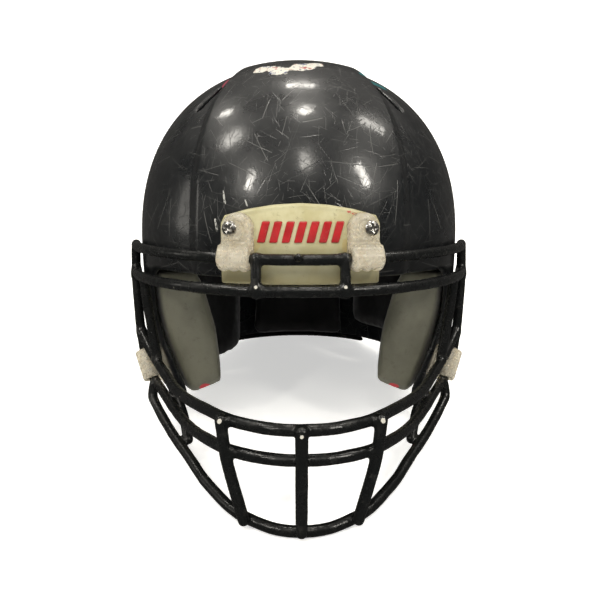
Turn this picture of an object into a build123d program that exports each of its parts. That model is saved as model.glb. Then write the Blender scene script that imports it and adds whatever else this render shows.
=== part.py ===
"""American football helmet: shell, liner, jaw pads, wire face mask, clips and trim.

The helmet is modelled upright round the middle of its dome, with the wearer facing -Y and +X at
the wearer's left. It is then leant back by REST_TILT, because it stands on the chin bar of the
mask and on the rear edge of the shell, and moved so that the middle of its footprint is the origin.
"""

from build123d import *
from functools import cache
import math
import os

# ---------------------------------------------------------------- driving dimensions, mm
HALF_WIDTH = 118.0  # shell half width at ear level
FRONT_REACH = 138.0  # dome middle to brow
BACK_REACH = 148.0  # dome middle to back
CROWN_RISE = 125.5  # dome middle to crown, before the raised band
SIDE_DROP = 180.0  # the sides run down as if to a point this far below
FULLNESS = 2.25  # 2 would be an ellipsoid; more is fuller at the shoulders
SHELL_T = 4.2  # polycarbonate wall
BAND_RISE = 3.0  # raised centre band over the crown
BROW_EDGE_Z = -16.0  # lower edge of the shell over the eyes
JAW_EDGE_Y = -70.0  # front edge of the jaw flap
JAW_FOOT_Z = -110.0  # lowest point of the jaw flap
REAR_EDGE_Z = -100.5  # lowest point of the shell at the nape
REST_TILT = 9.14  # lean back when it stands on a table, degrees

LEFT, RIGHT = 1, -1
SIDES = {"left": LEFT, "right": RIGHT}

EAR_HOLE = (12.0, -42.0, 17.0)  # y, z and radius
VENT_WIDTH = 8.0
CROWN_VENTS = [(59.2, -69.8, 98, 25), (49, 62, 80, 25)]  # x, y, turn in degrees, length
REAR_VENT_X = (20, 46)
REAR_VENT_Z, REAR_VENT_TURN, REAR_VENT_LENGTH = 34, 84, 24
BAND_EDGE = [(67, -145), (65.5, -112), (56, -85), (47.5, -64), (41, -40), (37, 0), (36, 60), (38, 155)]

WIRE_R = 3.3  # coated mask wire
STUB_R = 3.0  # thinner wire of the stubs
GRIP_GAP = 0.12  # clip bore over wire
CLIP_T = 2.6  # one leaf of a clip's strap
TOP_CLIP_HALF = 9.4  # half width of a top clip
SIDE_CLIP_HALF = 11.0
LOBE_R, LOBE_PITCH, LOBE_DROP = 3.9, 6.4, 3.2  # scalloped foot of a top clip

BUMPER_T = 3.0  # front bumper
BUMPER_HALF = 46.0
BUMPER_TOP, BUMPER_CROWN = 27.2, 7.4  # height at the middle, and how far the sides are lower
BUMPER_LEG_T, BUMPER_LEG_TOP = 2.5, -5.0  # leg behind the brow edge
EMBLEM_BARS, EMBLEM_PITCH, EMBLEM_HALF, EMBLEM_LEAN = 7, 7.0, 2.3, 1.6
EMBLEM_FOOT, EMBLEM_TOP, EMBLEM_RISE = 5.0, 17.0, 1.2
TRIM_T = 2.4  # rear bumper
TRIM_HALF, TRIM_TOP = 62.0, -78.0

SCREW_X, SCREW_Z = 37.4, 12.6  # top clip screws, from the dome middle
SIDE_SCREW_Y, SIDE_SCREW_Z = -24.0, -94.0
REAR_SCREW_X, REAR_SCREW_Z = 26.0, -90.0
SHANK_R = 2.4
HEAD_R = 4.7
HEAD_T = 2.2
RECESS_LONG, RECESS_WIDE, RECESS_DEEP = 6.0, 1.2, 1.1  # cross recess of a screw head
NUT_R = 3.4  # hole in the shell for a tee nut's barrel
NUT_FLANGE_R, NUT_FLANGE_T = 8.0, 1.2
CHIN_STUDS = [(-21.0, -40.0), (34.0, -84.0)]  # y, z of the snap studs for the chin strap
STUD_R = 4.8
STUD_H = 4.0
STUD_FOOT_R, STUD_FOOT_T = 8.0, 1.4
VALVES = [(14.0, 12.0), (-14.0, 12.0)]  # x, z of the inflation valves at the back
VALVE_R = 5.0

PAD_GAP = 3.0  # liner pads to shell
JAW_GAP = 2.8  # jaw pads to shell, which clears the screw tips and nuts
LINER_T = 22.0  # shell's inside to the head side of the liner
NAPE_T, REAR_PAD_T = 17.0, 24.0
REAR_PAD_FEET = {LEFT: -86.0, RIGHT: -99.0}  # the right one has slipped down
JAW_OUTLINE = [(-66, -27), (-14, -27), (-14, -62), (26, -72), (26, -100), (-60, -110), (-66, -100)]
JAW_FACE = [(69, -20), (57.3, -66), (53.4, -98.7), (80, -109.4)]  # x, z of the inner edge and foot in front
JAW_SPREAD = 0.25  # how fast the pads' inner faces part, towards the back
JAW_SNAPS = [(-50.0, -88.0), (-4.0, -88.0)]  # y, z
SNAP_DEPTH = 8.0  # shell's inside to the bottom of a snap's bore
SNAP_STUD_R = 3.0
SNAP_BORE_R = 3.4
SNAP_SINK = 1.5  # a snap rivet's end below the shell's skin
SOCKET_R = 5.6
SOCKET_T = 3.0

# mask wires on the wearer's left, as bend corners
CORNER = (118.2, -37.0, -10.0)  # top wire turns down into the side wire
SIDE_WIRE = [(118.6, -38, -28), (115.6, -43.5, -63), (111.3, -46.5, -91)]
LIP_WIRE = [
    (102, -57, -100),
    (84, -91, -108.5),
    (71, -119, -110),
    (57, -148, -107),
    (38, -177, -104.5),
    (14, -191, -104),
]
NOSE_WIRE = [
    (114.2, -44.5, -66),
    (106.5, -58, -75),
    (98, -74, -80.5),
    (86.5, -96, -86),
    (77, -117, -88.7),
    (66, -135.5, -89.3),
    (54, -152.5, -89),
    (38, -175, -88.3),
    (14, -192, -87.5),
]
CHIN_WIRE = [
    (104.5, -56.5, -102.5),
    (105.5, -58, -110.5),
    (97, -71, -119),
    (83.5, -94, -127.5),
    (70.5, -114, -133.5),
    (58.5, -134, -140.5),
    (36.5, -165, -146.5),
    (12, -178.5, -149.8),
]
INNER_WIRE = [(106.5, -67, -22), (102.8, -69.8, -50), (97, -75, -79.5)]
LINK_WIRE = [(94, -75, -85.5), (87, -76.5, -98), (79.5, -84, -112), (73, -100.5, -129)]
CENTRE_WIRE = [(0, -196.5, -84.5), (0, -197, -108), (0, -184.7, -149.4)]
UPRIGHT_WIRE = [(43.5, -175.5, -85), (40.5, -178.5, -108), (31, -174.5, -147.6)]
STUB_WIRE = [(24.9, -147.6, -1), (24.9, -152.4, -25)]
TOP_OVAL = (121.6, 149.5, -4.4)  # half width, reach and height of the top wire
BROW_OVAL = (121.6, 153.5, -21.5)
OVAL_TURNS = (26, 41, 56, 69, 82)  # degrees from the side to the front
TOP_SIDE_RISE = 2.0  # the top wire is this much higher at the sides


# ---------------------------------------------------------------- the dome that all skins share
def axes(grow, y, z):
    """Half axes of the dome on a point's side, grown outwards."""
    reach = FRONT_REACH if y < 0 else BACK_REACH
    rise = CROWN_RISE if z > 0 else SIDE_DROP
    return HALF_WIDTH + grow, reach + grow, rise + grow


@cache
def dome(grow):
    """Solid dome whose skin is the shell's outer surface moved out by grow."""
    half_width, _, _ = axes(grow, 1, 1)
    curves = []
    for side in (-1, 1):
        rise = axes(grow, 1, side)[2]
        turns = [math.radians(a) for a in (0, 8, 20, 33, 45, 57, 70, 82, 90)]
        power = 2 / FULLNESS
        points = [(half_width * math.cos(t) ** power, side * rise * math.sin(t) ** power) for t in turns]
        points[-1] = (0, side * rise)
        curves.append(Spline(*points, tangents=[(0, side), (-1, 0)]))
    axle = Line((0, -axes(grow, 1, -1)[2]), (0, axes(grow, 1, 1)[2]))
    section = Plane.XZ * make_face(curves + [axle])
    back = revolve(section, Axis.Z, 180)
    front = Rot(Z=180) * back
    back = scale(back, by=(1, axes(grow, 1, 1)[1] / half_width, 1))
    front = scale(front, by=(1, axes(grow, -1, 1)[1] / half_width, 1))
    return back + front


def level_scale(z, grow):
    """How much the dome's plan shrinks from its widest level to level z."""
    rise = axes(grow, 1, z)[2]
    return (1 - (abs(z) / rise) ** FULLNESS) ** (1 / FULLNESS)


def skin_y(x, z, grow, front=True):
    half_width, reach, _ = axes(grow, -1 if front else 1, z)
    return (-reach if front else reach) * math.sqrt(level_scale(z, grow) ** 2 - (x / half_width) ** 2)


def skin_x(y, z, grow):
    half_width, reach, _ = axes(grow, y, z)
    return half_width * math.sqrt(level_scale(z, grow) ** 2 - (y / reach) ** 2)


def skin_z(x, y, grow):
    """Height of the upper skin over a point."""
    half_width, reach, rise = axes(grow, y, 1)
    return rise * (1 - ((x / half_width) ** 2 + (y / reach) ** 2) ** (FULLNESS / 2)) ** (1 / FULLNESS)


def skin_plane(point, grow):
    """Plane on the skin at point, z_dir outwards and x_dir level."""
    half_width, reach, rise = axes(grow, point[1], point[2])
    flat = (point[0] / half_width) ** 2 + (point[1] / reach) ** 2
    steep = flat ** (FULLNESS / 2 - 1)
    up = math.copysign(abs(point[2] / rise) ** (FULLNESS - 1) / rise, point[2])
    normal = Vector(steep * point[0] / half_width**2, steep * point[1] / reach**2, up).normalized()
    return Plane(origin=point, x_dir=Vector(0, 0, 1).cross(normal), z_dir=normal)


def mirrored(shape):
    return mirror(shape, about=Plane.YZ)


def prism_x(points, x0, x1, round_by=0.0):
    """Side-view outline in (y, z), run from x0 to x1."""
    outline = Polyline(*[(y, z) for y, z in points], close=True)
    face = make_face(Plane.YZ * outline)
    if round_by:
        face = fillet(face.vertices(), round_by)
    return Pos(x0, 0, 0) * extrude(face, amount=x1 - x0, dir=(1, 0, 0))


def prism_y(points, y0, y1, spread=0.0):
    """Front-view outline in (x, z), run from y0 to y1, moving in x by spread for each mm of y."""
    plane = Plane(origin=(0, y0, 0), x_dir=(1, 0, 0), z_dir=(0, -1, 0))
    face = make_face(plane * Polyline(*points, close=True))
    return extrude(face, amount=math.hypot(1, spread) * (y1 - y0), dir=(spread, 1, 0))


def block(x0, x1, y0, y1, z0, z1):
    return Pos((x0 + x1) / 2, (y0 + y1) / 2, (z0 + z1) / 2) * Box(x1 - x0, y1 - y0, z1 - z0)


# ---------------------------------------------------------------- shell
def face_and_foot_cut():
    """Everything below the brow edge, in front of the jaw flaps and below the foot line."""
    top = BROW_EDGE_Z
    outline = [
        (-400, top),
        (-66, top),
        (-60, -50),
        (JAW_EDGE_Y, -78),
        (-71, JAW_FOOT_Z),
        (30, -103),
        (100, REAR_EDGE_Z),
        (400, REAR_EDGE_Z),
        (400, -400),
        (-400, -400),
    ]
    radii = [0, 24, 30, 30, 13, 60, 60, 0, 0, 0]
    return outline, radii


def rounded_prism_x(outline, radii, half):
    """Side-view outline with a radius at each corner, run from -half to half."""
    face = make_face(Plane.YZ * Polyline(*outline, close=True))
    for (y, z), radius in zip(outline, radii):
        if radius:
            corner = min(face.vertices(), key=lambda v: (v.Y - y) ** 2 + (v.Z - z) ** 2)
            face = fillet(corner, radius)
    return Pos(-half, 0, 0) * extrude(face, amount=2 * half, dir=(1, 0, 0))


def band_prism():
    """Plan outline of the raised band, wide at the brow and narrow behind the crown."""
    left_hand = Spline(*BAND_EDGE)
    right_hand = Spline(*[(-x, y) for x, y in reversed(BAND_EDGE)])
    (front_x, front_y), (back_x, back_y) = BAND_EDGE[0], BAND_EDGE[-1]
    back_end = Line((back_x, back_y), (-back_x, back_y))
    front_end = Line((-front_x, front_y), (front_x, front_y))
    face = make_face([left_hand, back_end, right_hand, front_end])
    return Pos(0, 0, -130) * extrude(face, amount=270)


def crown_vents():
    """Two slanting slots on each shoulder of the band, and two behind."""
    slots = []
    for x, y, turn, length in CROWN_VENTS:
        plane = skin_plane((x, y, skin_z(x, y, 0)), 0)
        slot = extrude(plane * Rot(Z=turn) * SlotOverall(length, VENT_WIDTH), amount=16, both=True)
        slots += [slot, mirrored(slot)]
    return slots


def rear_vents():
    slots = []
    for x in REAR_VENT_X:
        plane = skin_plane((x, skin_y(x, REAR_VENT_Z, 0, front=False), REAR_VENT_Z), 0)
        outline = plane * Rot(Z=REAR_VENT_TURN) * SlotOverall(REAR_VENT_LENGTH, VENT_WIDTH)
        slot = extrude(outline, amount=16, both=True)
        slots += [slot, mirrored(slot)]
    return slots


def screw_seats():
    """Every fastener through the shell: plane on the skin, and how far the seat lies over it."""
    seats = {"top": [], "side": [], "chin": [], "rear": []}
    for sign in SIDES.values():
        top = (SCREW_X * sign, skin_y(SCREW_X, SCREW_Z, BAND_RISE), SCREW_Z)
        seats["top"].append(skin_plane(top, BAND_RISE))
        side = (skin_x(SIDE_SCREW_Y, SIDE_SCREW_Z, 0) * sign, SIDE_SCREW_Y, SIDE_SCREW_Z)
        seats["side"].append(skin_plane(side, 0))
        for y, z in CHIN_STUDS:
            seats["chin"].append(skin_plane((skin_x(y, z, 0) * sign, y, z), 0))
        rear = (REAR_SCREW_X * sign, skin_y(REAR_SCREW_X, REAR_SCREW_Z, BAND_RISE, False), REAR_SCREW_Z)
        seats["rear"].append(skin_plane(rear, BAND_RISE))
    return seats


def shell(seats):
    body = dome(0) + (dome(BAND_RISE) & band_prism())
    body -= dome(-SHELL_T)
    body -= rounded_prism_x(*face_and_foot_cut(), 200)
    y, z, r = EAR_HOLE
    body -= Pos(0, y, z) * Rot(Y=90) * Cylinder(r, 400)
    for slot in crown_vents() + rear_vents():
        body -= slot
    for planes in seats.values():
        for plane in planes:
            body -= plane * Cylinder(NUT_R, 24)
    for sign in SIDES.values():
        for y, z in JAW_SNAPS:
            body -= snap_rivet_hole(sign, y, z)
    for plane in valve_planes():
        body -= plane * Cylinder(VALVE_R, 24)
    return body


def valve_planes():
    return [skin_plane((x, skin_y(x, z, BAND_RISE, False), z), BAND_RISE) for x, z in VALVES]


# ---------------------------------------------------------------- fasteners
def screw(plane, seat, length):
    """Cross-recess oval-head screw; seat is how far its head's underside lies over the plane."""
    head = Pos(0, 0, seat) * (scale(Sphere(1, arc_size1=0, align=None), by=(HEAD_R, HEAD_R, HEAD_T)))
    shank = Pos(0, 0, seat - length / 2) * Cylinder(SHANK_R, length)
    cross = Box(RECESS_LONG, RECESS_WIDE, HEAD_T) + Box(RECESS_WIDE, RECESS_LONG, HEAD_T)
    recess = Pos(0, 0, seat + 1.5 * HEAD_T - RECESS_DEEP) * cross
    return plane * (head + shank - recess)


def tee_nut(plane, wall):
    """Barrel in the shell with a flange inside; wall is the depth from the plane to the inside."""
    clearance = 0.1
    barrel = Pos(0, 0, -wall / 2 - clearance) * Cylinder(NUT_R - 0.1, wall + 0.2)
    flange = Pos(0, 0, -wall - clearance - NUT_FLANGE_T / 2) * Cylinder(NUT_FLANGE_R, NUT_FLANGE_T)
    bore = Cylinder(SHANK_R + 0.05, 4 * wall)
    return plane * (barrel + flange - bore)


def chin_stud(plane):
    """Snap stud for the chin strap, riveted through the shell."""
    rivet_length = SHELL_T + 1.6
    foot = Pos(0, 0, STUD_FOOT_T / 2) * Cylinder(STUD_FOOT_R, STUD_FOOT_T)
    post = Pos(0, 0, STUD_FOOT_T + STUD_H / 2) * Cylinder(STUD_R, STUD_H)
    rivet = Pos(0, 0, 0.2 - rivet_length / 2) * Cylinder(SHANK_R, rivet_length)
    return plane * (foot + post + rivet)


# ---------------------------------------------------------------- trim
def bumper_outline():
    """Front-view outline in (x, z): straight sides and a low arch on top."""
    last = BUMPER_HALF - 1.0
    turns = (1, 0.67, 0.33, 0, -0.33, -0.67, -1)
    arch = [(last * t, BUMPER_TOP - BUMPER_CROWN * t**2) for t in turns]
    foot, shoulder = -40, BUMPER_TOP - BUMPER_CROWN - 1.3
    left_side = [(BUMPER_HALF, foot), (BUMPER_HALF, shoulder)]
    right_side = [(-BUMPER_HALF, shoulder), (-BUMPER_HALF, foot)]
    return left_side + arch + right_side


def front_bumper(seats):
    """Vinyl trim over the brow: outside plate, lip under the edge and a short inside leg."""
    outline = prism_y(bumper_outline(), -200, -20)
    seam = BROW_EDGE_Z - 0.1
    inner = dome(-SHELL_T - 0.1 - BUMPER_LEG_T)
    outer = dome(BAND_RISE + BUMPER_T)
    plate = (outer - dome(BAND_RISE)) & outline & block(-60, 60, -200, 0, seam, 60)
    lip = (outer - inner) & outline & block(-60, 60, -200, 0, BROW_EDGE_Z - BUMPER_T, seam)
    leg = (dome(-SHELL_T - 0.1) - inner) & outline
    leg &= block(-60, 60, -200, 0, seam - 0.1, BUMPER_LEG_TOP)
    body = plate + lip + leg
    for plane in seats["top"]:
        body -= plane * Cylinder(NUT_R, 24)
    return body


def emblem():
    """Row of raised slanting bars, like yard-line hash marks."""
    skin = dome(BAND_RISE + BUMPER_T + EMBLEM_RISE) - dome(BAND_RISE + BUMPER_T)
    bars = []
    for i in range(EMBLEM_BARS):
        x = (i - (EMBLEM_BARS - 1) / 2) * EMBLEM_PITCH
        foot = [(x + s * EMBLEM_HALF - EMBLEM_LEAN, EMBLEM_FOOT) for s in (-1, 1)]
        top = [(x + s * EMBLEM_HALF + EMBLEM_LEAN, EMBLEM_TOP) for s in (1, -1)]
        bars.append(skin & prism_y(foot + top, -200, -100))
    return group(bars)


def rear_bumper(seats):
    """Nape trim: outside strip with a lip under the rear edge."""
    foot = REAR_EDGE_Z - TRIM_T
    outer = dome(BAND_RISE + TRIM_T)
    strip = (outer - dome(BAND_RISE)) & block(-TRIM_HALF, TRIM_HALF, 95, 220, foot, TRIM_TOP)
    lip = (outer - dome(-SHELL_T)) & block(-TRIM_HALF, TRIM_HALF, 95, 220, foot, REAR_EDGE_Z - 0.1)
    body = strip + lip
    for plane in seats["rear"]:
        body -= plane * Cylinder(NUT_R, 24)
    return body


# ---------------------------------------------------------------- face mask
def bent(points, share=0.45):
    """Wire path: straight runs with an arc at each corner, as large as share of the runs allows."""
    corners = [Vector(*p) for p in points]
    radii = []
    for before, here, after in zip(corners, corners[1:], corners[2:]):
        turn = math.radians((here - before).get_angle(after - here))
        shorter = min((here - before).length, (after - here).length)
        radii.append(share * shorter / math.tan(turn / 2))
    return FilletPolyline(*corners, radius=radii) if radii else Line(*corners)


def wire(path, r=WIRE_R):
    start = Plane(origin=path @ 0, z_dir=path % 0)
    return sweep(start * Circle(r), path=path)


def both_sides(half):
    """Whole wire from its left half, which starts at the far end."""
    return half + [(-x, y, z) for x, y, z in reversed(half)]


def oval_corners(oval, turns, rise=0.0):
    """Corners round an oval's front left quarter, outside it, so that arcs between them follow it."""
    half_width, reach, level = oval
    corners = []
    for i, turn in enumerate(turns):
        near = turns[min(i + 1, len(turns) - 1)] - turn or turn - turns[i - 1]
        out = 1 / math.cos(math.radians(near / 2))
        x = half_width * out * math.cos(math.radians(turn))
        y = -reach * out * math.sin(math.radians(turn))
        corners.append((x, y, level + rise * math.cos(math.radians(turn))))
    return corners


def mid(p, q, t=0.5):
    return tuple(a + (b - a) * t for a, b in zip(p, q))


def top_path():
    ends = [mid(CORNER, SIDE_WIRE[0], 0.8), (CORNER[0], CORNER[1], TOP_OVAL[2] + 3.0)]
    return bent(both_sides(ends + oval_corners(TOP_OVAL, OVAL_TURNS, TOP_SIDE_RISE)), 0.42)


def side_path():
    return bent([mid(CORNER, SIDE_WIRE[0], 0.8)] + SIDE_WIRE + [mid(SIDE_WIRE[-1], LIP_WIRE[0])])


def lip_half():
    return [mid(SIDE_WIRE[-1], LIP_WIRE[0])] + LIP_WIRE


def mask():
    """The mask's separate wires. Each one stops on the face of the wire that it is welded to."""
    top = wire(top_path())
    lip = wire(bent(both_sides(lip_half())))
    side = wire(side_path())
    nose = wire(bent(both_sides(NOSE_WIRE))) - side - mirrored(side)
    chin = wire(bent(both_sides(CHIN_WIRE))) - lip
    brow_end = (CORNER[0], CORNER[1], BROW_OVAL[2])
    brow = wire(bent(both_sides([brow_end] + oval_corners(BROW_OVAL, OVAL_TURNS)), 0.42))
    brow = largest(brow - side - mirrored(side) - top)
    nose, chin = largest(nose), largest(chin)
    parts = {"mask_top_bar": top, "mask_lip_bar": lip, "mask_nose_bar": nose, "mask_chin_bar": chin}
    parts["mask_brow_bar"] = brow
    stub = largest(wire(bent(STUB_WIRE), STUB_R) - top - brow)
    inner = largest(wire(bent(INNER_WIRE)) - brow - nose)
    link = largest(wire(bent(LINK_WIRE)) - nose - chin - lip)
    for name, sign in SIDES.items():
        for node, shape in (("side_bar", side), ("stub", stub), ("inner_bar", inner), ("link", link)):
            parts[f"mask_{name}_{node}"] = shape if sign == LEFT else mirrored(shape)
    centre, upright = wire(bent(CENTRE_WIRE)), wire(bent(UPRIGHT_WIRE))
    for bar in (nose, lip, chin):
        centre -= bar
        upright -= bar
    parts["mask_centre_upright"] = largest(centre)
    parts["mask_left_upright"] = largest(upright)
    parts["mask_right_upright"] = mirrored(largest(upright))
    return parts


def largest(shape):
    return max(shape.solids(), key=lambda s: s.volume)


# ---------------------------------------------------------------- clips
def top_clip(sign, seats, bore):
    """Clear strap from its screw on the bumper down round the top wire, with a scalloped foot."""
    seat_grow = BAND_RISE + BUMPER_T + 0.05
    over_bumper = (SCREW_X * sign, skin_y(SCREW_X, SCREW_Z, BAND_RISE + BUMPER_T), SCREW_Z)
    along = skin_plane(over_bumper, BAND_RISE + BUMPER_T).x_dir
    wire_z = TOP_OVAL[2] + 0.5
    wire_y = skin_y(SCREW_X, wire_z, BAND_RISE + BUMPER_T + 6.4)
    centre = Vector(SCREW_X * sign, wire_y, wire_z)
    out = along.cross(Vector(0, 0, 1))
    half, lift = TOP_CLIP_HALF, SCREW_Z - wire_z
    tab = Pos(0, lift, 0) * Circle(half) + Pos(0, lift / 2, 0) * Rectangle(2 * half, lift)
    tab = extrude(Plane(origin=centre - out * 40, x_dir=along, z_dir=out) * tab, amount=80)
    tab &= dome(BAND_RISE + BUMPER_T + 2 * CLIP_T) - dome(seat_grow)
    loop_plane = Plane(origin=centre - along * half, x_dir=out, z_dir=along)
    body = tab + extrude(loop_plane * Circle(WIRE_R + CLIP_T), amount=2 * half)
    body += extrude(loop_plane * Pos(-1.0, 4.0) * Rectangle(7.5, 8.0), amount=2 * half)
    for i in (-1, 0, 1):
        lobe_centre = centre + along * i * LOBE_PITCH - Vector(0, 0, LOBE_DROP)
        lobe_plane = Plane(origin=lobe_centre, x_dir=along, z_dir=out)
        body += extrude(lobe_plane * Circle(LOBE_R), amount=2.2, both=True)
    body -= dome(seat_grow)
    body -= bore
    body -= seats["top"][0 if sign == LEFT else 1] * Cylinder(SHANK_R + 0.3, 60)
    return largest(body)


def side_clip(sign, seats, bore):
    """Clear strap from its screw on the jaw flap forward round the side wire."""
    seat = seats["side"][0 if sign == LEFT else 1]
    half = SIDE_CLIP_HALF
    upper, lower = Vector(112.4 * sign, -45.6, -80.5), Vector(106 * sign, -52.4, -96.5)
    centre, down = (upper + lower) * 0.5, (lower - upper).normalized()
    back = Vector(0, 1, 0)
    back = (back - down * back.dot(down)).normalized()
    loop_plane = Plane(origin=centre - down * half, x_dir=back, z_dir=down)
    loop = extrude(loop_plane * Circle(WIRE_R + CLIP_T + 1.0), amount=2 * half)
    strap = [(-50, -80), (-32, -84), (-15, -86), (-15, -102), (-32, -104), (-50, -104)]
    tab = (dome(2 * CLIP_T + 0.2) - dome(0.2)) & prism_x(strap, 60 * sign, 160 * sign)
    filling = [(-50, -80), (-38, -81), (-38, -101), (-52, -100)]
    inner_x = skin_x(-45.5, -84, 0.3)
    web = prism_x(filling, inner_x * sign, (inner_x + 10) * sign)
    body = tab + loop + web
    body -= dome(0.2)
    body -= bore
    body -= seat * Cylinder(SHANK_R + 0.3, 60)
    return largest(body)


# ---------------------------------------------------------------- liner and jaw pads
def liner_pads():
    """Pads between the shell and the head, each a piece of one thick skin."""
    outside = dome(-SHELL_T - PAD_GAP)
    skin = outside - dome(-SHELL_T - LINER_T)
    reach = 200
    pads = {
        "front_pad": block(-58, 58, -reach, -40, -3, 38),
        "back_pad": block(-50, 50, 60, reach, -18, 58),
        "crown_pad": Pos(0, 6, 60) * extrude(RegularPolygon(52, 6, rotation=30), amount=100),
    }
    made = {name: largest(skin & region) for name, region in pads.items()}
    temple = skin & block(62, reach, -52, 52, -14, 52)
    made["left_temple_pad"] = largest(temple)
    made["right_temple_pad"] = mirrored(made["left_temple_pad"])
    nape = (outside - dome(-SHELL_T - NAPE_T)) & block(-44, 44, 60, reach, -100, -24)
    made["nape_pad"] = largest(nape)
    lower = outside - dome(-SHELL_T - REAR_PAD_T)
    made["left_rear_pad"] = largest(lower & block(50, reach, 34, 110, REAR_PAD_FEET[LEFT], -24))
    made["right_rear_pad"] = largest(lower & block(-reach, -50, 34, 110, REAR_PAD_FEET[RIGHT], -24))
    return made


def jaw_pad():
    """Left jaw pad: moulded cushion with bores for its two snaps."""
    body = prism_x(JAW_OUTLINE, 40, 140, 6) & dome(-SHELL_T - JAW_GAP)
    body -= prism_y(JAW_FACE + [(80, -130), (0, -130), (0, -20)], -67, 40, JAW_SPREAD)
    for y, z in JAW_SNAPS:
        depth = skin_x(y, z, -SHELL_T) - SNAP_DEPTH
        body -= Pos(depth + 20, y, z) * Rot(Y=90) * Cylinder(SOCKET_R, 40)
    return largest(body)


def snap_socket(y, z):
    """Metal ring in the jaw pad that grips the stud."""
    inner = skin_x(y, z, -SHELL_T) - SNAP_DEPTH
    ring = Cylinder(SOCKET_R - 0.05, SOCKET_T) - Cylinder(SNAP_BORE_R, 2 * SOCKET_T)
    return Pos(inner + SOCKET_T / 2, y, z) * Rot(Y=90) * ring


def snap_stud(y, z):
    """Stud on the shell's inside, its rivet sunk in the shell's wall."""
    head_length = 2.6
    tip = skin_x(y, z, -SHELL_T) - SNAP_DEPTH + 0.3
    outside = skin_x(y, z, 0) - SNAP_SINK
    post = Pos((tip + outside) / 2, y, z) * Rot(Y=90) * Cylinder(SNAP_STUD_R - 0.2, outside - tip)
    head = Pos(tip + head_length / 2, y, z) * Rot(Y=90) * Cylinder(SNAP_STUD_R, head_length)
    return post + head


def snap_rivet_hole(sign, y, z):
    return Pos(100 * sign, y, z) * Rot(Y=90) * Cylinder(SNAP_STUD_R - 0.1, 80)


# ---------------------------------------------------------------- valves
def valve(plane):
    """Rubber inflation valve: flanged plug with a needle hole."""
    stem = Pos(0, 0, -4) * Cylinder(VALVE_R - 0.1, 8.6)
    cap = Pos(0, 0, 0.7) * Cylinder(VALVE_R + 2.2, 1.0)
    hole = Pos(0, 0, 1) * Cylinder(0.9, 8)
    return plane * (stem + cap - hole)


def build():
    seats = screw_seats()
    parts = {"shell": shell(seats)}
    parts["front_bumper"] = front_bumper(seats)
    parts["bumper_emblem"] = emblem()
    parts["rear_bumper"] = rear_bumper(seats)
    parts |= mask()
    top_bore = wire(top_path(), WIRE_R + GRIP_GAP)
    left_bore = wire(side_path(), WIRE_R + GRIP_GAP) + wire(bent(lip_half()), WIRE_R + GRIP_GAP)
    side_bores = {"left": left_bore, "right": mirrored(left_bore)}
    for name, sign in SIDES.items():
        parts[f"{name}_top_clip"] = top_clip(sign, seats, top_bore)
        parts[f"{name}_side_clip"] = side_clip(sign, seats, side_bores[name])
    over = BUMPER_T + 2 * CLIP_T + 0.1
    parts["top_clip_screws"] = group(screw(p, over, over + 9) for p in seats["top"])
    parts["side_clip_screws"] = group(screw(p, 2 * CLIP_T + 0.4, 2 * CLIP_T + 6) for p in seats["side"])
    parts["rear_bumper_screws"] = group(screw(p, TRIM_T + 0.1, TRIM_T + 10) for p in seats["rear"])
    parts["top_tee_nuts"] = group(tee_nut(p, SHELL_T + BAND_RISE + 0.4) for p in seats["top"])
    parts["side_tee_nuts"] = group(tee_nut(p, SHELL_T + 0.4) for p in seats["side"])
    parts["rear_tee_nuts"] = group(tee_nut(p, SHELL_T + BAND_RISE + 0.4) for p in seats["rear"])
    parts["chin_strap_studs"] = group(chin_stud(p) for p in seats["chin"])
    parts["chin_stud_tee_nuts"] = group(tee_nut(p, SHELL_T + 0.4) for p in seats["chin"])
    for name, plane in zip(SIDES, valve_planes()):
        parts[f"{name}_inflation_valve"] = valve(plane)
    parts |= liner_pads()
    pad = jaw_pad()
    sockets = [snap_socket(y, z) for y, z in JAW_SNAPS]
    studs = [snap_stud(y, z) for y, z in JAW_SNAPS]
    for name, sign in SIDES.items():
        for node, shapes in (("jaw_pad", [pad]), ("jaw_sockets", sockets), ("jaw_studs", studs)):
            sided = shapes if sign == LEFT else [mirrored(shape) for shape in shapes]
            parts[f"{name}_{node}"] = group(sided)
    return parts


def group(shapes):
    return Compound(children=[solid for shape in shapes for solid in shape.solids()])


def stood(parts):
    """Leans the helmet back and puts the middle of its footprint at the origin."""
    leant = {name: Rot(X=-REST_TILT) * shape for name, shape in parts.items()}
    boxes = [shape.bounding_box() for shape in leant.values()]
    low = [min(tuple(b.min)[i] for b in boxes) for i in range(3)]
    high = [max(tuple(b.max)[i] for b in boxes) for i in range(3)]
    shift = Pos(-(low[0] + high[0]) / 2, -(low[1] + high[1]) / 2, -low[2])
    print("shift", shift.position, "size", [h - l for l, h in zip(low, high)])
    return {name: shift * shape for name, shape in leant.items()}


if __name__ == "__main__":
    os.makedirs("parts", exist_ok=True)
    for name, shape in stood(build()).items():
        export_step(shape, f"parts/{name}.step")
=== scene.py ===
"""Looks of the american football helmet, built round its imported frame.

Shapes are worked out in the upright helmet's own millimetres, with the dome's middle as origin, the
wearer facing -Y and +X at the wearer's left. stand() leans them back and puts them in the row frame.
Hard pieces are distance fields, which openvdb turns into quads; pads are blown up as cloth.
Numbers in the fields and materials are millimetres, but lamps and the backdrop are in metres.
"""

import math

import bpy
import numpy as np
import openvdb
from mathutils import Matrix, Vector
from numpy.linalg import norm


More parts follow.
